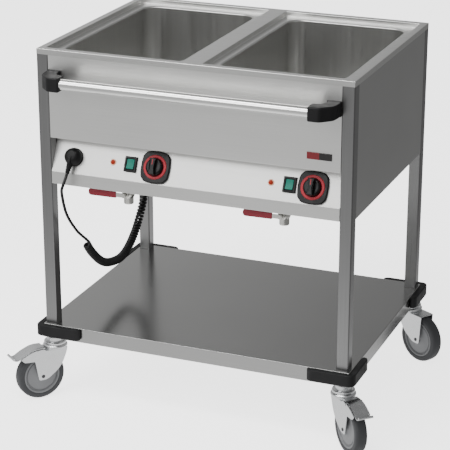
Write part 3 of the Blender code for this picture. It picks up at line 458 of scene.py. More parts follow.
deck_stack = [("rim", 0, LIP_BOTTOM)]
deck_stack += [("rim", i, z) for i, z in bend((0, RIM_TOP - FOLD), (0, RIM_TOP), (FOLD, RIM_TOP))]
deck_stack += [("recess", i, z) for i, z in bend((-FOLD, RIM_TOP), (0, RIM_TOP), (0, RIM_TOP - FOLD))]
deck_stack += [("recess", i, z) for i, z in bend((0, LEDGE_TOP + FOLD), (0, LEDGE_TOP), (FOLD, LEDGE_TOP))]
deck_stack += [("opening", -ROLL, LEDGE_TOP), ("opening", -ROLL, LEDGE_TOP - SHEET)]
deck_stack += [("recess", -SHEET, LEDGE_TOP - SHEET), ("recess", -SHEET, RIM_TOP - SHEET)]
deck_stack += [("rim", SHEET, RIM_TOP - SHEET), ("rim", SHEET, LIP_BOTTOM)]
deck_points, deck_faces = lofted([deck_ring(*level) for level in deck_stack], closed=True)
deck_faces = [f for f in deck_faces if np.abs(deck_points[f, 0]).max() > 1e-6]
deck_steel = brushed("belt-ground stainless deck", "#d6d6d4", 0.30, ALONG_X, streak=0.05, tone=0.04, relief=0.02)
piece("deck_sheet", [(deck_points, deck_faces), (deck_points * (-1, 1, 1), deck_faces)], "frame", "deck",
      deck_steel)

# ---- Wells ---------------------------------------------------------------------------------------
# Each well is deep drawn from one blank, so its corners and its floor edge are round and its walls
# carry faint vertical drawing marks. Its top edge is rolled over the ledge, and a grate covers the
# drain at the front.
FLOOR_EDGE = 0.010
DRAIN_Y = -0.232
floor_z = WELL_BOTTOM + SHEET
well_stack = bend((SHEET + FLOOR_EDGE, WELL_BOTTOM), (0, WELL_BOTTOM), (0, WELL_BOTTOM + FLOOR_EDGE), 6)
well_stack += bend((0, LEDGE_TOP - 2 * ROLL), (0, LEDGE_TOP - SHEET), (-ROLL, LEDGE_TOP - SHEET))
well_stack += bend((-ROLL, LEDGE_TOP), (SHEET, LEDGE_TOP), (SHEET, LEDGE_TOP - ROLL), 6)
well_stack += bend((SHEET, floor_z + FLOOR_EDGE), (SHEET, floor_z), (SHEET + FLOOR_EDGE, floor_z), 6)
well_shape = lofted([deck_ring("opening", i, z) for i, z in well_stack])
grate_side = rounded(
    [(0.0, 0.0), (0.0165, 0.0), (0.0165, 0.0014), (0.0120, 0.0018), (0.0105, 0.0004), (0.0, 0.0004)],
    [0, 0, 0.0005, 0.0008, 0.0008, 0],
)
grate_bar = lofted([corner_ring((-0.0011, 0.0011), (-0.0108, 0.0108), 0.0004, z, 2) for z in (0.0003, 0.0014)])
# Painted shade: the wells' steel is coloured darker than the deck's, for the shade inside the deep wells. The drain
# grates share it.
well_steel_painted_shade = brushed("deep-drawn stainless well, painted shade", "#c6c6c4", 0.33, (90.0, 90.0, 2.0), streak=0.03, tone=0.03, relief=0)
for side, sign in (("left", -1), ("right", 1)):
    well = f"well_{side}"
    piece(well + "_tank", [(well_shape[0] * (sign, 1, 1), well_shape[1])], "frame", well, well_steel_painted_shade)
    valve_low, valve_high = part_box(f"drain_valve_{side}")
    drain = np.array([(valve_low.x + valve_high.x) / 2, DRAIN_Y, floor_z + 0.0002])
    bars = [moved(grate_bar, lambda p, shift=shift: p + drain + (shift, 0, 0)) for shift in (-0.005, 0.0, 0.005)]
    piece(well + "_drain_grate", [moved(turned(grate_side), lambda p: p + drain), *bars], "frame", None,
          well_steel_painted_shade)

# ---- Legs ----------------------------------------------------------------------------------------
# Square stainless tube, 30 by 30 by 1.5 mm, with the round corners of a drawn tube. The grain runs
# along the tube, and the caster stems are pressed into the lower ends.
# Painted shade: the tube's steel is coloured much darker than the panels', so the legs read as shaded.
leg_steel_painted_shade = brushed("ground stainless tube, painted shade", "#8a8a8a", 0.32, ALONG_Z, streak=0.06, relief=0.03)
TUBE_WALL = 0.0015
CORNERS = ("front_left", "front_right", "rear_left", "rear_right")
for corner in CORNERS:
    low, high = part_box(f"leg_{corner}")
    walls = [(0, low.z), (0, high.z), (TUBE_WALL, high.z), (TUBE_WALL, low.z)]
    rings = [corner_ring((low.x + i, high.x - i), (low.y + i, high.y - i), 0.0028 - i, z) for i, z in walls]
    piece(f"leg_{corner}_tube", [lofted(rings, closed=True)], "frame", f"leg_{corner}", leg_steel_painted_shade)

# ---- Shelf ---------------------------------------------------------------------------------------
# A tray turned upside down: 1.5 mm sheet with all four edges folded down and returned, and the corners
# welded. It ties the legs together and carries the load between them.
shelf_low, shelf_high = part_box("shelf")
SHELF_SHEET, SHELF_RETURN = 0.0015, 0.0065
shelf_stack = [(SHELF_SHEET, shelf_high.z - SHELF_SHEET), (SHELF_SHEET, shelf_low.z + SHELF_SHEET)]
shelf_stack += [(SHELF_RETURN, shelf_low.z + SHELF_SHEET), (SHELF_RETURN, shelf_low.z)]
shelf_stack += bend((FOLD, shelf_low.z), (0, shelf_low.z), (0, shelf_low.z + FOLD))
shelf_stack += bend((0, shelf_high.z - FOLD), (0, shelf_high.z), (FOLD, shelf_high.z))
shelf_rings = [
    corner_ring((shelf_low.x + i, shelf_high.x - i), (shelf_low.y + i, shelf_high.y - i),
                0.001 + FOLD - min(i, FOLD), z, 3)
    for i, z in shelf_stack
]
# Painted shade: the shelf's steel is coloured darker than the deck's, for the shade under the body.
shelf_steel_painted_shade = brushed("belt-ground stainless shelf, painted shade", "#9e9e9d", 0.22, ALONG_X, streak=0.025, tone=0.03, relief=0)
piece("shelf_tray", [lofted(shelf_rings)], "frame", "shelf", shelf_steel_painted_shade)


# ---- Body panels ---------------------------------------------------------------------------------
# Folded from 1.2 mm sheet and fixed between the legs from inside, so that no fastener shows. The
# control panel slopes back under the front panel, which keeps spills off the switches.
def sheet_outline(line, thickness, fold=FOLD):
    """A folded sheet in section: the outer line with its bends rounded, and the same line moved inwards
    by the thickness, which is to the left of its direction."""
    line = rounded(line, fold)
    step = unit(np.diff(line, axis=0))
    left = np.column_stack([-step[:, 1], step[:, 0]])
    before, after = np.vstack([left[:1], left]), np.vstack([left, left[-1:]])
    inner = line + thickness * (before + after) / (1 + (before * after).sum(axis=1, keepdims=True))
    return np.vstack([line, inner[::-1]])


def along_x(outline, low, high):
    """An outline of y and z drawn out from low to high along x."""
    return lofted([np.column_stack([np.full(len(outline), x), outline]) for x in (low, high)])


def along_y(outline, low, high):
    """An outline of x and z drawn out from low to high along y."""
    return lofted([np.column_stack([outline[:, 0], np.full(len(outline), y), outline[:, 1]]) for y in (low, high)])


front_low, front_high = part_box("front_panel")
control_low, control_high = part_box("control_panel")
back_low, back_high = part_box("back_panel")
FOLD_Z = 0.597
front_line = [(front_low.y, front_high.z), (front_low.y, front_low.z), (front_high.y, front_low.z)]
slope_top = (front_high.y, front_low.z - 0.0003)
control_line = [slope_top, (control_low.y, FOLD_Z), (control_low.y, control_low.z),
                (control_low.y + 0.0155, control_low.z)]
back_line = [(back_low.y, back_low.z), (back_high.y, back_low.z), (back_high.y, back_high.z)]
front_steel = brushed("belt-ground front panel", "#e4e4e2", 0.38, ALONG_X, streak=0.06, tone=0.04, relief=0.02)
control_steel = brushed("belt-ground control panel", "#dadad8", 0.42, ALONG_X, streak=0.04, tone=0.03, relief=0.02)
# Painted shade: the side panels' steel is coloured darker than the front panel's, so the sides read darker than the
# front. The bottom pan and thermostats share it.
side_steel_painted_shade = brushed("belt-ground side panel, painted shade", "#bcbcbb", 0.40, ALONG_Z, streak=0.05, tone=0.04, relief=0.02)
for name, line, low, high, finish in (
    ("front_panel", front_line, front_low, front_high, front_steel),
    ("control_panel", control_line, control_low, control_high, control_steel),
    ("back_panel", back_line, back_low, back_high, front_steel),
):
    piece(f"{name}_sheet", [along_x(sheet_outline(line, SHEET), low.x, high.x)], "frame", name, finish)
for side, sign in (("left", -1), ("right", 1)):
    low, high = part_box(f"side_panel_{side}")
    outer, inner = (low.x, high.x) if sign < 0 else (high.x, low.x)
    line = [(outer, high.z), (outer, low.z), (inner, low.z)]
    section = sheet_outline(line if sign < 0 else line[::-1], SHEET)
    piece(f"side_panel_{side}_sheet", [along_y(section, low.y, high.y)], "frame", f"side_panel_{side}",
          side_steel_painted_shade)
cover(side_steel_painted_shade, "bottom_pan", "thermostat_left", "thermostat_right")

# ---- Heaters and wiring inside the body ----------------------------------------------------------
# Silicone heating mats are glued under the well floors, and the lead ends in a ceramic terminal block.
# They are seen only with the panels off.
cover(moulded("red-brown silicone mat", "#8f3a24", 0.55), "heater_left", "heater_right")
cover(moulded("unglazed steatite block", "#d8d2c4", 0.5), "terminal_block")


# ---- Corner bumpers ------------------------------------------------------------------------------
# Buffers of black thermoplastic rubber clipped round the shelf's corners, so that the trolley does not
# mark walls. They are solid mouldings with a round corner, slanted ends and a soft grain.
def offset(outline, distance):
    """A closed outline moved outwards: each point goes along the mean of its two sides' normals, so
    far that both sides keep their distance."""
    step = unit(np.roll(outline, -1, axis=0) - outline)
    out = np.column_stack([step[:, 1], -step[:, 0]])
    before = np.roll(out, 1, axis=0)
    return outline + distance * (before + out) / np.maximum(1 + (before * out).sum(axis=1, keepdims=True), 0.3)


def slab(outline, low, high, edge=0.0, steps=3):
    """A closed outline given a thickness from low to high, with both its edges rounded."""
    turn = np.roll(outline, -1, axis=0)
    if (outline[:, 0] * turn[:, 1] - outline[:, 1] * turn[:, 0]).sum() < 0:
        outline = outline[::-1]
    angle = np.linspace(0, math.pi / 2, steps + 1) if edge else np.array([math.pi / 2])
    levels = [(edge * (1 - math.sin(a)), edge * (1 - math.cos(a))) for a in angle]
    rings = [(offset(outline, -i), low + z) for i, z in levels]
    rings += [(offset(outline, -i), high - z) for i, z in levels[::-1]]
    return lofted([np.column_stack([ring, np.full(len(ring), z)]) for ring, z in rings])


# The rubber is matte, with a grain that breaks up its highlights.
bumper_rubber = moulded("black thermoplastic rubber", "#161617", 0.55, grain_mm=1.0, depth=0.08, Specular_IOR_Level=0.3)
for corner in CORNERS:
    low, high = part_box(f"bumper_{corner}")
    sx, sy = (1 if "right" in corner else -1), (1 if "rear" in corner else -1)
    reach_x, reach_y = max(abs(low.x), abs(high.x)), max(abs(low.y), abs(high.y))
    end_x, end_y = min(abs(low.x), abs(high.x)), min(abs(low.y), abs(high.y))
    in_x, in_y = shelf_high.x + 0.0003, shelf_high.y + 0.0003
    plan = rounded(
        [(end_x, in_y), (in_x, in_y), (in_x, end_y), (reach_x - 0.006, end_y), (reach_x, end_y + 0.010),
         (reach_x, reach_y), (end_x + 0.010, reach_y), (end_x, reach_y - 0.006)],
        [0.004, 0.001, 0.004, 0.005, 0.006, 0.019, 0.006, 0.005], steps=8, closed=True,
    )
    piece(f"bumper_{corner}_moulding", [slab(plan * (sx, sy), low.z, high.z, edge=0.0026, steps=4)], "frame",
          f"bumper_{corner}", bumper_rubber)

# ---- Push bar ------------------------------------------------------------------------------------
# A polished stainless tube held in two glass-filled nylon brackets. Each bracket grips the bar's end
# and sweeps back to a foot that is screwed to the front panel, with a cap over the screw.
bar_low, bar_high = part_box("handle_bar")
BAR_Y, BAR_Z = (bar_low.y + bar_high.y) / 2, (bar_low.z + bar_high.z) / 2
bar_steel = brushed("polished stainless tube", "#e8e8e6", 0.14, ALONG_X, streak=0.02, tone=0.01, relief=0)
bar_line = np.linspace([bar_low.x, BAR_Y, BAR_Z], [bar_high.x, BAR_Y, BAR_Z], 5)
piece("push_bar", [tube(bar_line, (bar_high.z - bar_low.z) / 2, 64, (0.0, 0.0, 1.0))], "frame", "handle_bar",
      bar_steel)
# Glass-filled nylon is duller than plain nylon.
bracket_nylon = moulded("black glass-filled nylon", "#151516", 0.45, grain_mm=1.0, depth=0.07, Specular_IOR_Level=0.3)
for side, sign in (("left", -1), ("right", 1)):
    low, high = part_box(f"handle_bracket_{side}")
    inner, outer = sorted((abs(low.x), abs(high.x)))
    plan = rounded(
        [(inner, low.y), (inner + 0.029, low.y), (outer - 0.003, low.y + 0.026), (outer, high.y - 0.016),
         (outer, high.y), (outer - 0.031, high.y), (outer - 0.032, high.y - 0.016), (inner + 0.020, low.y + 0.036),
         (inner, low.y + 0.034)],
        [0.005, 0.006, 0.010, 0.006, 0.005, 0.005, 0.010, 0.012, 0.005], steps=6, closed=True,
    )
    foot = rounded(
        [(outer - 0.034, high.y - 0.006), (outer + 0.0005, high.y - 0.006), (outer + 0.0005, high.y),
         (outer - 0.034, high.y)], 0.0025, closed=True,
    )
    cap_at = np.array([outer - 0.0025, high.y - 0.024, BAR_Z])
    cap = moved(
        turned(rounded([(0, -0.001), (0.0062, -0.001), (0.0062, 0.0016), (0.0045, 0.0022), (0, 0.0022)],
                       [0, 0, 0.0006, 0.0004, 0]), 32),
        lambda p: cap_at + np.column_stack([p[:, 2], p[:, 0], p[:, 1]]),
    )
    shapes = [slab(plan, low.z, high.z, edge=0.0032, steps=4), slab(foot, low.z - 0.001, high.z + 0.001, edge=0.0015),
              cap]
    piece(f"push_bar_bracket_{side}", [(p * (sign, 1, 1), f) for p, f in shapes], "frame",
          f"handle_bracket_{side}", bracket_nylon)

# ---- Badge ---------------------------------------------------------------------------------------
# A small enamelled plate, red on its left and black on its right, with a rolled edge. It is left plain.
badge_low, badge_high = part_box("badge")
badge_enamel, tree, shader, place = finish_of("two-colour stove enamel", "#7d1620", 0.22, Coat_Weight=0.4)
across_badge = node(tree, "SeparateXYZ", {"Vector": place})
past_middle = node(
    tree, "Math", {0: across_badge.outputs["X"], 1: badge_low.x + 0.030}, operation="GREATER_THAN"
)
two_colours = node(
    tree, "Mix", {"Factor": past_middle.outputs["Value"], "A": linear("#7d1620"), "B": linear("#1a1718")},
    data_type="RGBA",
)
tree.links.new(two_colours.outputs["Result"], shader.inputs["Base Color"])
badge_plan = rounded(
    [(badge_low.x, badge_low.z), (badge_high.x, badge_low.z), (badge_high.x, badge_high.z),
     (badge_low.x, badge_high.z)], 0.0012, closed=True,
)
piece(
    "badge_plate",
    [moved(slab(badge_plan, 0.0, 0.0014, edge=0.0005),
           lambda p: np.column_stack([p[:, 0], badge_high.y - p[:, 2], p[:, 1]]))],
    "frame", "badge", badge_enamel,
)

# ---- Thermostat knobs and dial plates ------------------------------------------------------------
# Each dial plate is a black phenolic moulding with bulging sides and a red printed ring. The knob has
# a round skirt and a waisted grip, and a red line shows its setting. Phenolic is black and half glossy.
PLATE_TOP = 0.007


def turned_ring(profile, sides):
    """A closed profile that stays clear of the axis, spun round it."""
    return lofted(turned(profile, sides)[0].reshape(-1, sides, 3), closed=True)


def at_control(x, lift=0.0):
    """Puts points on the line of the controls at x, lifted off the panel."""
    return lambda points: on_slope(points + (0, 0, lift), x)


dial_black = moulded("black phenolic", "#0c0c0d", 0.32, grain_mm=1.2, depth=0.02, Specular_IOR_Level=0.25)
ring_red = moulded("red screen-printed lacquer", "#b02a36", 0.42, Specular_IOR_Level=0.3)
print_grey = moulded("grey tampo print", "#4c4a49", 0.5)
edge_share = np.linspace(-0.36, 0.36, 9)
side_line = np.column_stack([0.5 - 0.075 * (edge_share / 0.5) ** 2, 0.93 * edge_share])
quarter = np.arange(4)[:, None, None] * math.pi / 2
bulged = np.concatenate(
    [side_line[None, :, :1] * np.cos(quarter) - side_line[None, :, 1:] * np.sin(quarter),
     side_line[None, :, :1] * np.sin(quarter) + side_line[None, :, 1:] * np.cos(quarter)], axis=2,
).reshape(-1, 2)
plate_outline = rounded(bulged * (0.074, 0.078), 0.008, steps=6, closed=True)
ring_side = rounded(
    [(0.0220, 0.0), (0.0220, 0.0010), (0.0228, 0.0022), (0.0280, 0.0022), (0.0292, 0.0004), (0.0292, 0.0)],
    [0, 0, 0.0006, 0.0006, 0, 0],
)
knob_side = rounded(
    [(0.0, 0.0), (0.0212, 0.0), (0.0216, 0.0030), (0.0200, 0.0090), (0.0172, 0.0105), (0.0, 0.0105)],
    [0, 0.0005, 0.001, 0.003, 0.002, 0],
)
waist = np.linspace(-1, 1, 15)
grip_half = np.column_stack([0.0052 + 0.0035 * waist**2, 0.0196 * waist])
grip_outline = rounded(np.vstack([grip_half, (grip_half * (-1, 1))[::-1]]), 0.002, closed=True)
pointer = rounded([(-0.0009, 0.004), (0.0009, 0.004), (0.0009, 0.0165), (-0.0009, 0.0165)], 0.0004, closed=True)
mark = rounded([(0.0296, -0.0005), (0.0318, -0.0005), (0.0318, 0.0005), (0.0296, 0.0005)], 0.0002, closed=True)
mark_angles = np.radians(np.linspace(-60, 240, 11))
for side in ("left", "right"):
    knob_joint = joints[f"thermostat_knob_{side}"]
    knob_x = knob_joint["pos_m"][0]
    marks = [
        moved(slab(mark, 0.0, 0.0004),
              lambda p, a=a: on_slope(np.column_stack(
                  [p[:, 0] * math.cos(a) - p[:, 1] * math.sin(a), p[:, 0] * math.sin(a) + p[:, 1] * math.cos(a),
                   p[:, 2] + PLATE_TOP]), knob_x))
        for a in mark_angles
    ]
    dial = slab(plate_outline, 0.0003, PLATE_TOP, edge=0.0026, steps=5)
    piece(f"dial_{side}_moulding", [moved(dial, at_control(knob_x))], "frame", f"dial_plate_{side}",
          dial_black)
    piece(f"dial_{side}_ring", [moved(turned_ring(ring_side, 72), at_control(knob_x, PLATE_TOP - 0.0001))], "frame",
          None, ring_red)
    piece(f"dial_{side}_marks", marks, "frame", None, print_grey)
    on_dial = at_control(knob_x, PLATE_TOP + 0.0004)
    grip_block = slab(grip_outline, 0.008, 0.0205, edge=0.0016, steps=4)
    piece(f"thermostat_{side}_knob", [moved(turned(knob_side, 64), on_dial), moved(grip_block, on_dial)],
          f"knob_{side}", f"knob_{side}", dial_black)
    piece(f"thermostat_{side}_pointer", [moved(slab(pointer, 0.0200, 0.0208, edge=0.0002, steps=2), on_dial)],
          f"knob_{side}", None, ring_red)

# ---- Rocker switches -----------------------------------------------------------------------------
# Snap-in switches with a black nylon frame and a green polycarbonate rocker, which is shown unlit. The
# rocker tilts in the frame about its middle.
switch_nylon = moulded("black nylon switch frame", "#0c0c0d", 0.34, grain_mm=1.2, depth=0.02, Specular_IOR_Level=0.25)
rocker_green = moulded("green polycarbonate", "#047a68", 0.42, Specular_IOR_Level=0.25)
FRAME_X, FRAME_Y = 0.016, 0.019
LENS_X, LENS_Y, ROCKER_TILT, ROCKER_LIFT = 0.0090, 0.0120, math.radians(6), 0.0016
frame_stack = [(0, 0, 0.0003), (0.0004, 0.0004, 0.0044), (0.0014, 0.0014, 0.0054), (0.0050, 0.0046, 0.0056),
               (0.0058, 0.0052, 0.0048), (FRAME_X - LENS_X - 0.0007, FRAME_Y - LENS_Y - 0.0016, 0.0020),
               (FRAME_X - LENS_X - 0.0007, FRAME_Y - LENS_Y - 0.0016, -0.0095)]
frame_rings = [
    corner_ring((-FRAME_X + i, FRAME_X - i), (-FRAME_Y + j, FRAME_Y - j), 0.0012, z, 3) for i, j, z in frame_stack
]
rocker_section = rounded(
    [(LENS_Y, 0.0046), (0.0, 0.0026), (-LENS_Y, 0.0046), (-LENS_Y + 0.001, -0.0040), (-0.004, -0.0068),
     (0.004, -0.0068), (LENS_Y - 0.001, -0.0040)],
    [0.0012, 0.010, 0.0012, 0.001, 0.001, 0.001, 0.001], steps=5, closed=True,
)
tilt_back, tilt_up = math.cos(ROCKER_TILT), math.sin(ROCKER_TILT)
for side in ("left", "right"):
    switch_x = joints[f"rocker_switch_{side}"]["pos_m"][0]
    piece(f"switch_{side}_frame", [moved(lofted(frame_rings), at_control(switch_x))], "frame",
          f"switch_housing_{side}", switch_nylon)

    def tilted(points):
        """The rocker turned about the panel's long way, so that its upper end stands out."""
        x, y, z = points.T
        leaned = np.column_stack([x, y * tilt_back + z * tilt_up, z * tilt_back - y * tilt_up + ROCKER_LIFT])
        return on_slope(leaned, switch_x)

    piece(f"switch_{side}_rocker", [moved(along_x(rocker_section, -LENS_X, LENS_X), tilted)], f"rocker_{side}",
          f"rocker_{side}", rocker_green)

# ---- Pilot lamps ---------------------------------------------------------------------------------
# Amber polycarbonate lenses, dark when unlit, in a thin collar of clear orange plastic. They snap into
# round holes in the panel.
lens_amber = moulded("amber polycarbonate", "#a02508", 0.3, Specular_IOR_Level=0.2)
collar_amber = moulded("clear orange collar", "#f2ae8c", 0.35)
lens_side = rounded([(0, -0.002), (0.0052, -0.002), (0.0052, 0.0024), (0.0036, 0.0042), (0, 0.0047)],
                    [0, 0, 0.001, 0.0012, 0])
collar_side = rounded([(0.0053, 0.0002), (0.0053, 0.0014), (0.0062, 0.0015), (0.0078, 0.0007), (0.0078, 0.0002)],
                      [0, 0.0003, 0.0005, 0.0003, 0])
for side in ("left", "right"):
    low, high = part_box(f"pilot_lamp_{side}")
    lamp_x = (low.x + high.x) / 2
    piece(f"pilot_{side}_lens", [moved(turned(lens_side, 32), at_control(lamp_x))], "frame",
          f"pilot_lamp_{side}", lens_amber)
    piece(f"pilot_{side}_collar", [moved(turned_ring(collar_side, 32), at_control(lamp_x))], "frame", None,
          collar_amber)

# ---- Cable gland ---------------------------------------------------------------------------------
# A black nylon gland: a hexagon against the underside of the pan and a domed nut that closes on the
# flex. Its thread and lock nut stand up inside the pan.
gland_low, gland_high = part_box("cable_gland")
DOME_TOP = gland_low.z + 0.0080
gland_nylon = moulded("black polyamide gland", "#161617", 0.4, grain_mm=1.1)


def hexagon(radius, low, high, edge=0.0006):
    """A hexagonal prism with its six corners and both ends broken."""
    angle = np.radians(np.arange(0, 360, 60))
    plan = rounded(radius * np.column_stack([np.cos(angle), np.sin(angle)]), 0.08 * radius, steps=2, closed=True)
    return slab(plan, low, high, edge=edge, steps=2)


def on_gland(points):
    """Turned shapes stood on the gland's axis."""
    return points + (GLAND[0], GLAND[1], 0)


gland_dome = rounded(
    [(0.0, gland_low.z), (0.0050, gland_low.z), (0.0092, gland_low.z + 0.0035), (0.0096, DOME_TOP + 0.0005),
     (0.0, DOME_TOP + 0.0005)], [0, 0.001, 0.004, 0, 0],
)
gland_thread = [(0.0, GLAND[2] - 0.0010), (0.0083, GLAND[2] - 0.0010), (0.0083, gland_high.z), (0.0, gland_high.z)]
piece(
    "lead_gland",
    [moved(turned(gland_dome, 32), on_gland), moved(hexagon(0.0112, DOME_TOP, GLAND[2] - 0.0004), on_gland),
     moved(turned(gland_thread, 32), on_gland)],
    "frame", "cable_gland", gland_nylon,
)

# ---- Drain valves --------------------------------------------------------------------------------
# Nickel-plated brass ball valves, screwed on the drain sockets of the wells. The lever is a zinc-plated
# strip held by a nut, and its outer end is dipped in red vinyl. The nickel is satin over a cast skin.
nickel, tree, shader, place = finish_of("satin nickel plate", "#d9d8d3", 0.24, metallic=1.0)
roughen(tree, shader, noise(tree, place, 700.0, 3.0), 0.12, 0.0004)
dip_red = moulded("red vinyl dip", "#94142a", 0.30, grain_mm=2.5, depth=0.05, Coat_Weight=0.3)
SLEEVE_REACH, SLEEVE_LENGTH, SLEEVE_HALF = 0.0935, 0.0740, 0.0090
STRIP_OUT = 0.0290
stud_side = [(0.0, 0.0232), (0.0036, 0.0232), (0.0036, STRIP_OUT + 0.0042), (0.0, STRIP_OUT + 0.0042)]
for side in ("left", "right"):
    low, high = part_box(f"drain_valve_{side}")
    lever_joint = joints[f"drain_lever_{side}"]
    axis_x, valve_z = (low.x + high.x) / 2, lever_joint["pos_m"][2]
    stem = np.array([axis_x, DRAIN_Y, valve_z])

    def upright(points):
        """Turned shapes stood on the drain's own axis."""
        return points + (axis_x, DRAIN_Y, 0)

    def facing(points):
        """Turned shapes laid along the stem of the valve, which points forwards."""
        return stem + np.column_stack([points[:, 0], -points[:, 2], points[:, 1]])

    body_side = rounded(
        [(0.0, valve_z - 0.0130), (0.0118, valve_z - 0.0130), (0.0155, valve_z - 0.0060), (0.0160, valve_z + 0.0075),
         (0.0125, valve_z + 0.0160), (0.0, valve_z + 0.0160)], [0, 0.001, 0.006, 0.006, 0.001, 0],
    )
    pipe_side = [(0.0, valve_z + 0.010), (0.0104, valve_z + 0.010), (0.0104, high.z), (0.0, high.z)]
    outlet_side = rounded(
        [(0.0, low.z + 0.012), (0.0086, low.z + 0.010), (0.0088, low.z), (0.0116, low.z), (0.0121, low.z + 0.0020),
         (0.0121, valve_z - 0.006), (0.0, valve_z - 0.006)], [0, 0, 0.0003, 0.0006, 0.0006, 0, 0],
    )
    gland_side = rounded([(0.0, 0.008), (0.0085, 0.008), (0.0085, 0.0215), (0.0070, 0.0228), (0.0, 0.0228)],
                         [0, 0, 0.0008, 0.0006, 0])
    piece(
        f"valve_{side}_body",
        [moved(turned(body_side, 40), upright), moved(turned(pipe_side, 32), upright),
         moved(turned(outlet_side, 40), upright),
         moved(hexagon(0.0128, valve_z + 0.0135, valve_z + 0.0200), upright),
         moved(turned(gland_side, 32), facing)],
        "frame", f"drain_valve_{side}", nickel,
    )
    strip = rounded([(0.0060, -0.0052), (0.0060, 0.0052), (-0.030, 0.0052), (-0.030, -0.0052)],
                    [0.004, 0.004, 0.001, 0.001], closed=True)
    sleeve = rounded(
        [(-SLEEVE_REACH, -SLEEVE_HALF), (-SLEEVE_REACH + SLEEVE_LENGTH, -SLEEVE_HALF + 0.0008),
         (-SLEEVE_REACH + SLEEVE_LENGTH, SLEEVE_HALF - 0.0008), (-SLEEVE_REACH, SLEEVE_HALF)],
        [0.0085, 0.0035, 0.0035, 0.0085], steps=8, closed=True,
    )
    emboss = rounded([(-0.076, -0.0032), (-0.040, -0.0030), (-0.040, 0.0030), (-0.076, 0.0032)], 0.0028, steps=6,
                     closed=True)
    piece(
        f"valve_{side}_lever",
        [moved(slab(strip, STRIP_OUT - 0.0013, STRIP_OUT + 0.0013, edge=0.0003, steps=1), facing),
         moved(hexagon(0.0062, STRIP_OUT - 0.004, STRIP_OUT + 0.0036), facing),
         moved(turned(stud_side, 20), facing)],
        f"valve_lever_{side}", f"valve_lever_{side}", nickel,
    )
    piece(
        f"valve_{side}_lever_sleeve",
        [moved(slab(sleeve, STRIP_OUT - 0.0029, STRIP_OUT + 0.0026, edge=0.0024, steps=5), facing),
         moved(slab(emboss, STRIP_OUT + 0.0020, STRIP_OUT + 0.0030, edge=0.0004, steps=2), facing)],
        f"valve_lever_{side}", None, dip_red,
    )


# ---- Casters -------------------------------------------------------------------------------------
# Swivel casters of 125 mm: a pressed and bright zinc-plated fork under a ball race, and a grey rubber
# tyre on a moulded grey rim that runs on a bolt. The two front ones have a pressed brake pedal.
zinc, tree, shader, place = finish_of("bright zinc plate", "#d2d3d4", 0.22, metallic=1.0)
# Zinc has patches of more and less gloss, and the waves that pressing leaves.
patches = noise(tree, place, 60.0, 4.0)
tree.links.new(ranged(tree, patches, (0.3, 0.7), (0.20, 0.34)), shader.inputs["Roughness"])
roughen(tree, shader, noise(tree, place, 120.0, 2.0), 0.04, 0.0006)
tyre_rubber = moulded("grey thermoplastic rubber", "#414244", 0.55, grain_mm=1.5, depth=0.06, Specular_IOR_Level=0.3)
rim_nylon = moulded("grey polypropylene rim", "#7b7c7e", 0.42, grain_mm=1.6, depth=0.05)
steel_bolt = finish_of("black oxide bolt", "#4a4a4c", 0.34, metallic=1.0)[0]

WHEEL, WHEEL_HALF, TRAIL = 0.0625, 0.016, 0.045
CROWN_LOW, CROWN_HIGH = 0.1275, 0.1305
FORK_IN, FORK_OUT = 0.0193, 0.0218
PIVOT_X, PIVOT_Z = 0.054, 0.1315
tyre_half = rounded(
    [(0.0478, 0.0), (0.0478, WHEEL_HALF - 0.0018), (0.0500, WHEEL_HALF - 0.0008), (0.0590, WHEEL_HALF - 0.0010),
     (WHEEL - 0.0002, WHEEL_HALF - 0.0065), (WHEEL, 0.0)], [0, 0.0005, 0.001, 0.003, 0.004, 0], steps=4,
)
tyre_side = np.vstack([tyre_half, (tyre_half * (1, -1))[::-1][1:-1]])
rim_half = rounded(
    [(0.0477, WHEEL_HALF - 0.0022), (0.0455, WHEEL_HALF - 0.0010), (0.0432, WHEEL_HALF - 0.0028),
     (0.0418, WHEEL_HALF - 0.0064), (0.0398, WHEEL_HALF - 0.0068), (0.0384, WHEEL_HALF - 0.0044),
     (0.0230, WHEEL_HALF - 0.0040), (0.0140, WHEEL_HALF - 0.0010), (0.0125, FORK_IN - 0.0010),
     (0.0054, FORK_IN - 0.0010)],
    [0, 0.0012, 0.0010, 0.0008, 0.0008, 0.0012, 0.004, 0.0012, 0.0008, 0], steps=3,
)
rim_side = np.vstack([rim_half, (rim_half * (1, -1))[::-1]])
race_side = rounded(
    [(0.0062, CROWN_LOW - 0.0005), (0.0280, CROWN_LOW + 0.0010), (0.0308, CROWN_HIGH + 0.0010),
     (0.0308, CROWN_HIGH + 0.0060), (0.0265, 0.1400), (0.0062, 0.1400)],
    [0, 0.001, 0.002, 0.003, 0.001, 0], steps=4,
)
head_side = rounded(
    [(0.0, 0.1213), (0.0088, 0.1213), (0.0088, CROWN_LOW - 0.0012), (0.0059, CROWN_LOW - 0.0012), (0.0059, 0.1403),
     (0.0278, 0.1403), (0.0278, 0.1452), (0.0255, 0.1465), (0.0200, 0.1467), (0.0200, 0.1578), (0.0118, 0.1579),
     (0.0118, 0.2250), (0.0, 0.2250)],
    [0, 0.0006, 0, 0, 0, 0.0012, 0.0015, 0.0008, 0.0008, 0.0008, 0, 0.001, 0], steps=3,
)
fork_plain = [
    (-0.0238, CROWN_HIGH - 0.0006), (-0.0213, 0.1170), (-0.0100, 0.0900), (0.0040, 0.0725), (0.0335, 0.0527),
    (0.0565, 0.0527), (0.0628, 0.1265), (0.0628, CROWN_HIGH - 0.0006),
]
wing = [(0.012, -0.0245), (0.026, -0.0238), (0.040, -0.0220), (0.049, -0.0125), (0.038, -0.0065), (0.026, -0.0010),
        (0.0125, 0.0030), (-0.002, 0.0042), (-0.014, 0.0040)]
fork_braked = fork_plain[:6] + [(PIVOT_X + x, PIVOT_Z + z) for x, z in wing] + [(0.0345, CROWN_HIGH - 0.0006)]
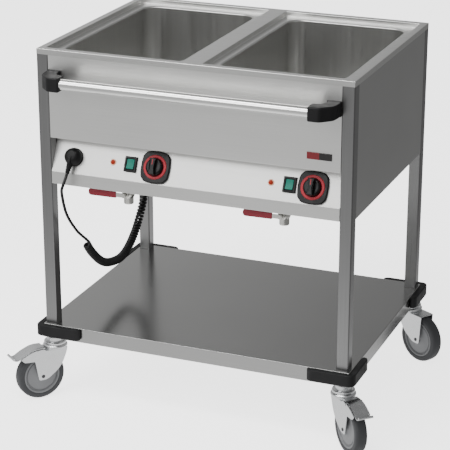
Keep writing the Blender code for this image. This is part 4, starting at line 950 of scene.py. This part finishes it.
PLAIN_CURVES = [0.0012, 0.012, 0.012, 0.016, 0.008, 0.006, 0.004, 0.0012]
BRAKED_CURVES = PLAIN_CURVES[:6] + [0.004, 0.004, 0.004, 0.003, 0.008, 0.008, 0.010, 0.010, 0.008, 0.003]
pedal_top = [(-0.018, 0.0063), (0.000, 0.0078), (0.013, 0.0060), (0.024, 0.0020), (0.036, -0.0037), (0.048, -0.0102),
             (0.057, -0.0130), (0.064, -0.0114), (0.070, -0.0064)]
PEDAL_HALF, PEDAL_SHEET = 0.0185, 0.0019
pedal_cheek = [
    (-0.0153, 0.0045), (0.000, 0.0060), (0.013, 0.0042), (0.024, 0.0002), (0.036, -0.0055), (0.045, -0.0105),
    (0.039, -0.0188), (0.014, -0.0203), (-0.004, -0.007), (-0.0153, -0.0033),
]


def crowned(line, half, thickness, lift, columns=13):
    """A pressed strip: the line of x and z carried across y from -half to half, its middle raised by
    lift times 1 - (y / half) ** 6, closed with its own lower side. A groove is pressed along the middle
    of its length, so that a raised border of a fifth of the width is left round it."""
    y = half * np.sin(np.linspace(-math.pi / 2, math.pi / 2, columns))
    share = np.linspace(0, 1, len(line))
    raised = lift * (1 - (y / half) ** 6)[None, :]
    sunk = (np.abs(y)[None, :] < 0.62 * half) * ((share > 0.30) & (share < 0.78))[:, None] * 0.0009
    top = np.stack([line[:, :1] + 0 * y[None, :], 0 * line[:, :1] + y[None, :], line[:, 1:] + raised - sunk], axis=-1)
    under = top - (0, 0, thickness)
    return lofted(np.concatenate([top, under[:, ::-1]], axis=1))


def plate(outline, low, high, edge=0.0006):
    """An outline of x and z given a thickness across y, with its edges rounded."""
    points, faces = slab(np.asarray(outline, float), low, high, edge=edge, steps=2)
    return np.column_stack([points[:, 0], points[:, 2], points[:, 1]]), faces


def across_axle(shape, x, z):
    """A turned shape laid along the axle, its height along y."""
    points, faces = shape
    return np.column_stack([points[:, 0] + x, points[:, 2], points[:, 1] + z]), faces


for corner in CORNERS:
    swivel = np.array(joints[f"swivel_{corner}"]["pos_m"])
    axle_at = np.array(joints[f"roll_{corner}"]["pos_m"])
    trail = (axle_at - swivel)[:2] / np.linalg.norm((axle_at - swivel)[:2])
    braked = corner.startswith("front")

    def under_leg(points):
        """From the caster's own frame, in which +X trails and z is 0 on the floor."""
        x, y = points[:, 0], points[:, 1]
        return np.column_stack(
            [swivel[0] + x * trail[0] - y * trail[1], swivel[1] + x * trail[1] + y * trail[0], points[:, 2]])

    caster, wheel = f"caster_{corner}", f"wheel_{corner}"
    piece(f"{caster}_head", [moved(turned(head_side, 48), under_leg)], "frame", f"caster_stem_{corner}",
          zinc)
    outline = rounded(fork_braked if braked else fork_plain, BRAKED_CURVES if braked else PLAIN_CURVES, steps=5,
                      closed=True)
    crown_end = 0.0335 if braked else 0.0620
    crown_plan = rounded([(-0.0235, -FORK_OUT + 0.0003), (crown_end, -FORK_OUT + 0.0003),
                          (crown_end, FORK_OUT - 0.0003), (-0.0235, FORK_OUT - 0.0003)],
                         [0.006, 0.001, 0.001, 0.006], closed=True)
    bolt_head = turned(
        rounded([(0.0, FORK_OUT - 0.001), (0.0044, FORK_OUT - 0.001), (0.0044, FORK_OUT + 0.0010),
                 (0.0030, FORK_OUT + 0.0019), (0.0, FORK_OUT + 0.0019)], [0, 0, 0.0006, 0.001, 0], steps=3), 28)
    axle = turned([(0.0, -FORK_OUT), (0.0048, -FORK_OUT), (0.0048, FORK_OUT), (0.0, FORK_OUT)], 24)
    bolts = [bolt_head, (bolt_head[0] * (1, 1, -1), bolt_head[1]), axle]
    piece(
        f"{caster}_fork",
        [moved(plate(outline, FORK_IN, FORK_OUT), under_leg), moved(plate(outline, -FORK_OUT, -FORK_IN), under_leg),
         moved(slab(crown_plan, CROWN_LOW, CROWN_HIGH - 0.0002, edge=0.0010, steps=2), under_leg),
         moved(turned_ring(race_side, 56), under_leg)],
        caster, f"fork_{corner}", zinc,
    )
    piece(f"{caster}_bolt", [moved(across_axle(b, TRAIL, WHEEL), under_leg) for b in bolts], caster, None,
          steel_bolt)
    tyre = turned_ring(tyre_side, 96)
    rim = turned_ring(rim_side, 72)
    piece(f"{wheel}_tyre", [moved(across_axle(tyre, TRAIL, WHEEL), under_leg)], wheel, f"wheel_{corner}",
          tyre_rubber)
    piece(f"{wheel}_rim", [moved(across_axle(rim, TRAIL, WHEEL), under_leg)], wheel, None, rim_nylon)
    if braked:
        line = rounded(pedal_top, [0, 0.005, 0.005, 0.005, 0.005, 0.004, 0.003, 0.003, 0], steps=4)
        line += (PIVOT_X, PIVOT_Z - 0.0006)
        cheek = rounded(np.array(pedal_cheek) + (PIVOT_X, PIVOT_Z),
                        [0.002, 0.006, 0.006, 0.006, 0.006, 0.003, 0.006, 0.010, 0.008, 0.002], closed=True)
        pin = turned(rounded([(0.0, -FORK_OUT - 0.001), (0.0040, -FORK_OUT - 0.001), (0.0040, -FORK_OUT - 0.0001),
                              (0.0024, -FORK_OUT), (0.0024, FORK_OUT), (0.0040, FORK_OUT + 0.0001),
                              (0.0040, FORK_OUT + 0.001), (0.0, FORK_OUT + 0.001)], 0.0002, steps=1), 20)
        lip = np.column_stack([np.full(13, 0.0), np.linspace(-PEDAL_HALF, PEDAL_HALF, 13), np.zeros(13)])
        lip += (PIVOT_X + 0.0670, 0, PIVOT_Z - 0.0085)
        piece(
            f"brake_{corner}_pedal",
            [moved(crowned(line, PEDAL_HALF, PEDAL_SHEET, 0.0006), under_leg),
             moved(plate(cheek, PEDAL_HALF - PEDAL_SHEET, PEDAL_HALF, edge=0.0005), under_leg),
             moved(plate(cheek, -PEDAL_HALF, -PEDAL_HALF + PEDAL_SHEET, edge=0.0005), under_leg),
             moved(tube(lip, 0.0030, 16, (1.0, 0, 0)), under_leg),
             moved(across_axle(pin, PIVOT_X, PIVOT_Z), under_leg)],
            f"brake_{corner}", f"brake_pedal_{corner}", zinc,
        )

# ---- Studio --------------------------------------------------------------------------------------
# A plain pale floor that runs on out of view, two soft boxes high in front, and walls. Floor and walls
# show plain and pale; what the steel mirrors of them is darker far off, on the right and behind.
SEEN_FLOOR, SEEN_WALLS = 2.6, 3.0
floor_mesh = bpy.data.meshes.new("studio_floor")
floor_mesh.from_pydata([(-9, -9, 0), (9, -9, 0), (9, 9, 0), (-9, 9, 0)], [], [(0, 1, 2, 3)])
floor = bpy.data.objects.new("studio_floor", floor_mesh)
bpy.context.scene.collection.objects.link(floor)
floor_paint, tree, shader, place = finish_of("matt white floor paint", "#f4f4f4", 0.9,
                                             Emission_Strength=SEEN_FLOOR)
shader.inputs["Emission Color"].default_value = (1.0, 1.0, 1.0, 1.0)
from_middle = node(tree, "VectorMath", {0: place, 1: (0.0, 0.2, 0.0)}, operation="ADD")
reach = node(tree, "VectorMath", {0: from_middle.outputs["Vector"]}, operation="LENGTH")
near = ranged(tree, reach.outputs["Value"], (0.6, 1.7), (1.36, 0.64))
across_floor = node(tree, "SeparateXYZ", {"Vector": place})
right_side = ranged(tree, across_floor.outputs["X"], (0.3, 0.75), (1.0, 0.34))
glow = node(tree, "Math", {0: near, 1: right_side}, operation="MULTIPLY")
mirrored = node(tree, "Emission", {"Strength": glow.outputs["Value"]})
watched = node(tree, "LightPath").outputs["Is Camera Ray"]
both_floors = node(tree, "MixShader", {"Fac": watched})
tree.links.new(mirrored.outputs["Emission"], both_floors.inputs[1])
tree.links.new(shader.outputs["BSDF"], both_floors.inputs[2])
tree.links.new(both_floors.outputs["Shader"], tree.nodes["Material Output"].inputs["Surface"])
floor_mesh.materials.append(floor_paint)


def soft_box(name, place, aim, width, height, power):
    """An area light at place, turned to face aim."""
    light = bpy.data.lights.new(name, "AREA")
    light.shape = "RECTANGLE"
    light.size, light.size_y, light.energy = width, height, power
    lamp = bpy.data.objects.new(name, light)
    lamp.location = place
    lamp.rotation_euler = (Vector(aim) - Vector(place)).to_track_quat("-Z", "Y").to_euler()
    bpy.context.scene.collection.objects.link(lamp)


soft_box("key_box", (-1.6, -3.2, 3.0), (0, 0, 0.6), 2.4, 1.6, 60.0)
soft_box("strip_box", (-0.5, -1.5, 3.3), (0, 0, 0.8), 3.0, 0.6, 60.0)

room = bpy.data.worlds.new("studio_walls")
bpy.context.scene.world = room
room.use_nodes = True
walls = room.node_tree
background = walls.nodes["Background"]
direction = node(walls, "TexCoord").outputs["Generated"]
parts = node(walls, "SeparateXYZ", {"Vector": direction})
height = ranged(walls, parts.outputs["Z"], (-1.0, 1.0), (0.0, 1.0))
height_grade = node(walls, "ValToRGB", {"Fac": height})
grade = height_grade.color_ramp
for position, level in ((0.30, 0.60), (0.52, 0.50), (0.60, 0.75), (0.70, 0.78), (0.95, 0.60)):
    stop = grade.elements[0] if position == 0.30 else grade.elements.new(position)
    stop.position, stop.color = position, (level, level, level, 1)
grade.elements.remove(grade.elements[-1])
corner_way = node(walls, "VectorMath", {0: direction, 1: (1.0, 1.0, 1.2)}, operation="DOT_PRODUCT")
side_grade = ranged(walls, corner_way.outputs["Value"], (0.80, 1.12), (1.0, 0.42))
shaded = node(walls, "VectorMath", {0: height_grade.outputs["Color"], "Scale": side_grade}, operation="SCALE")
seen = node(walls, "LightPath").outputs["Is Camera Ray"]
mixed = node(walls, "Mix", {"Factor": seen, "A": shaded.outputs["Vector"],
                            "B": (SEEN_WALLS, SEEN_WALLS, SEEN_WALLS, 1.0)}, data_type="RGBA")
walls.links.new(mixed.outputs["Result"], background.inputs["Color"])
background.inputs["Strength"].default_value = 1.0
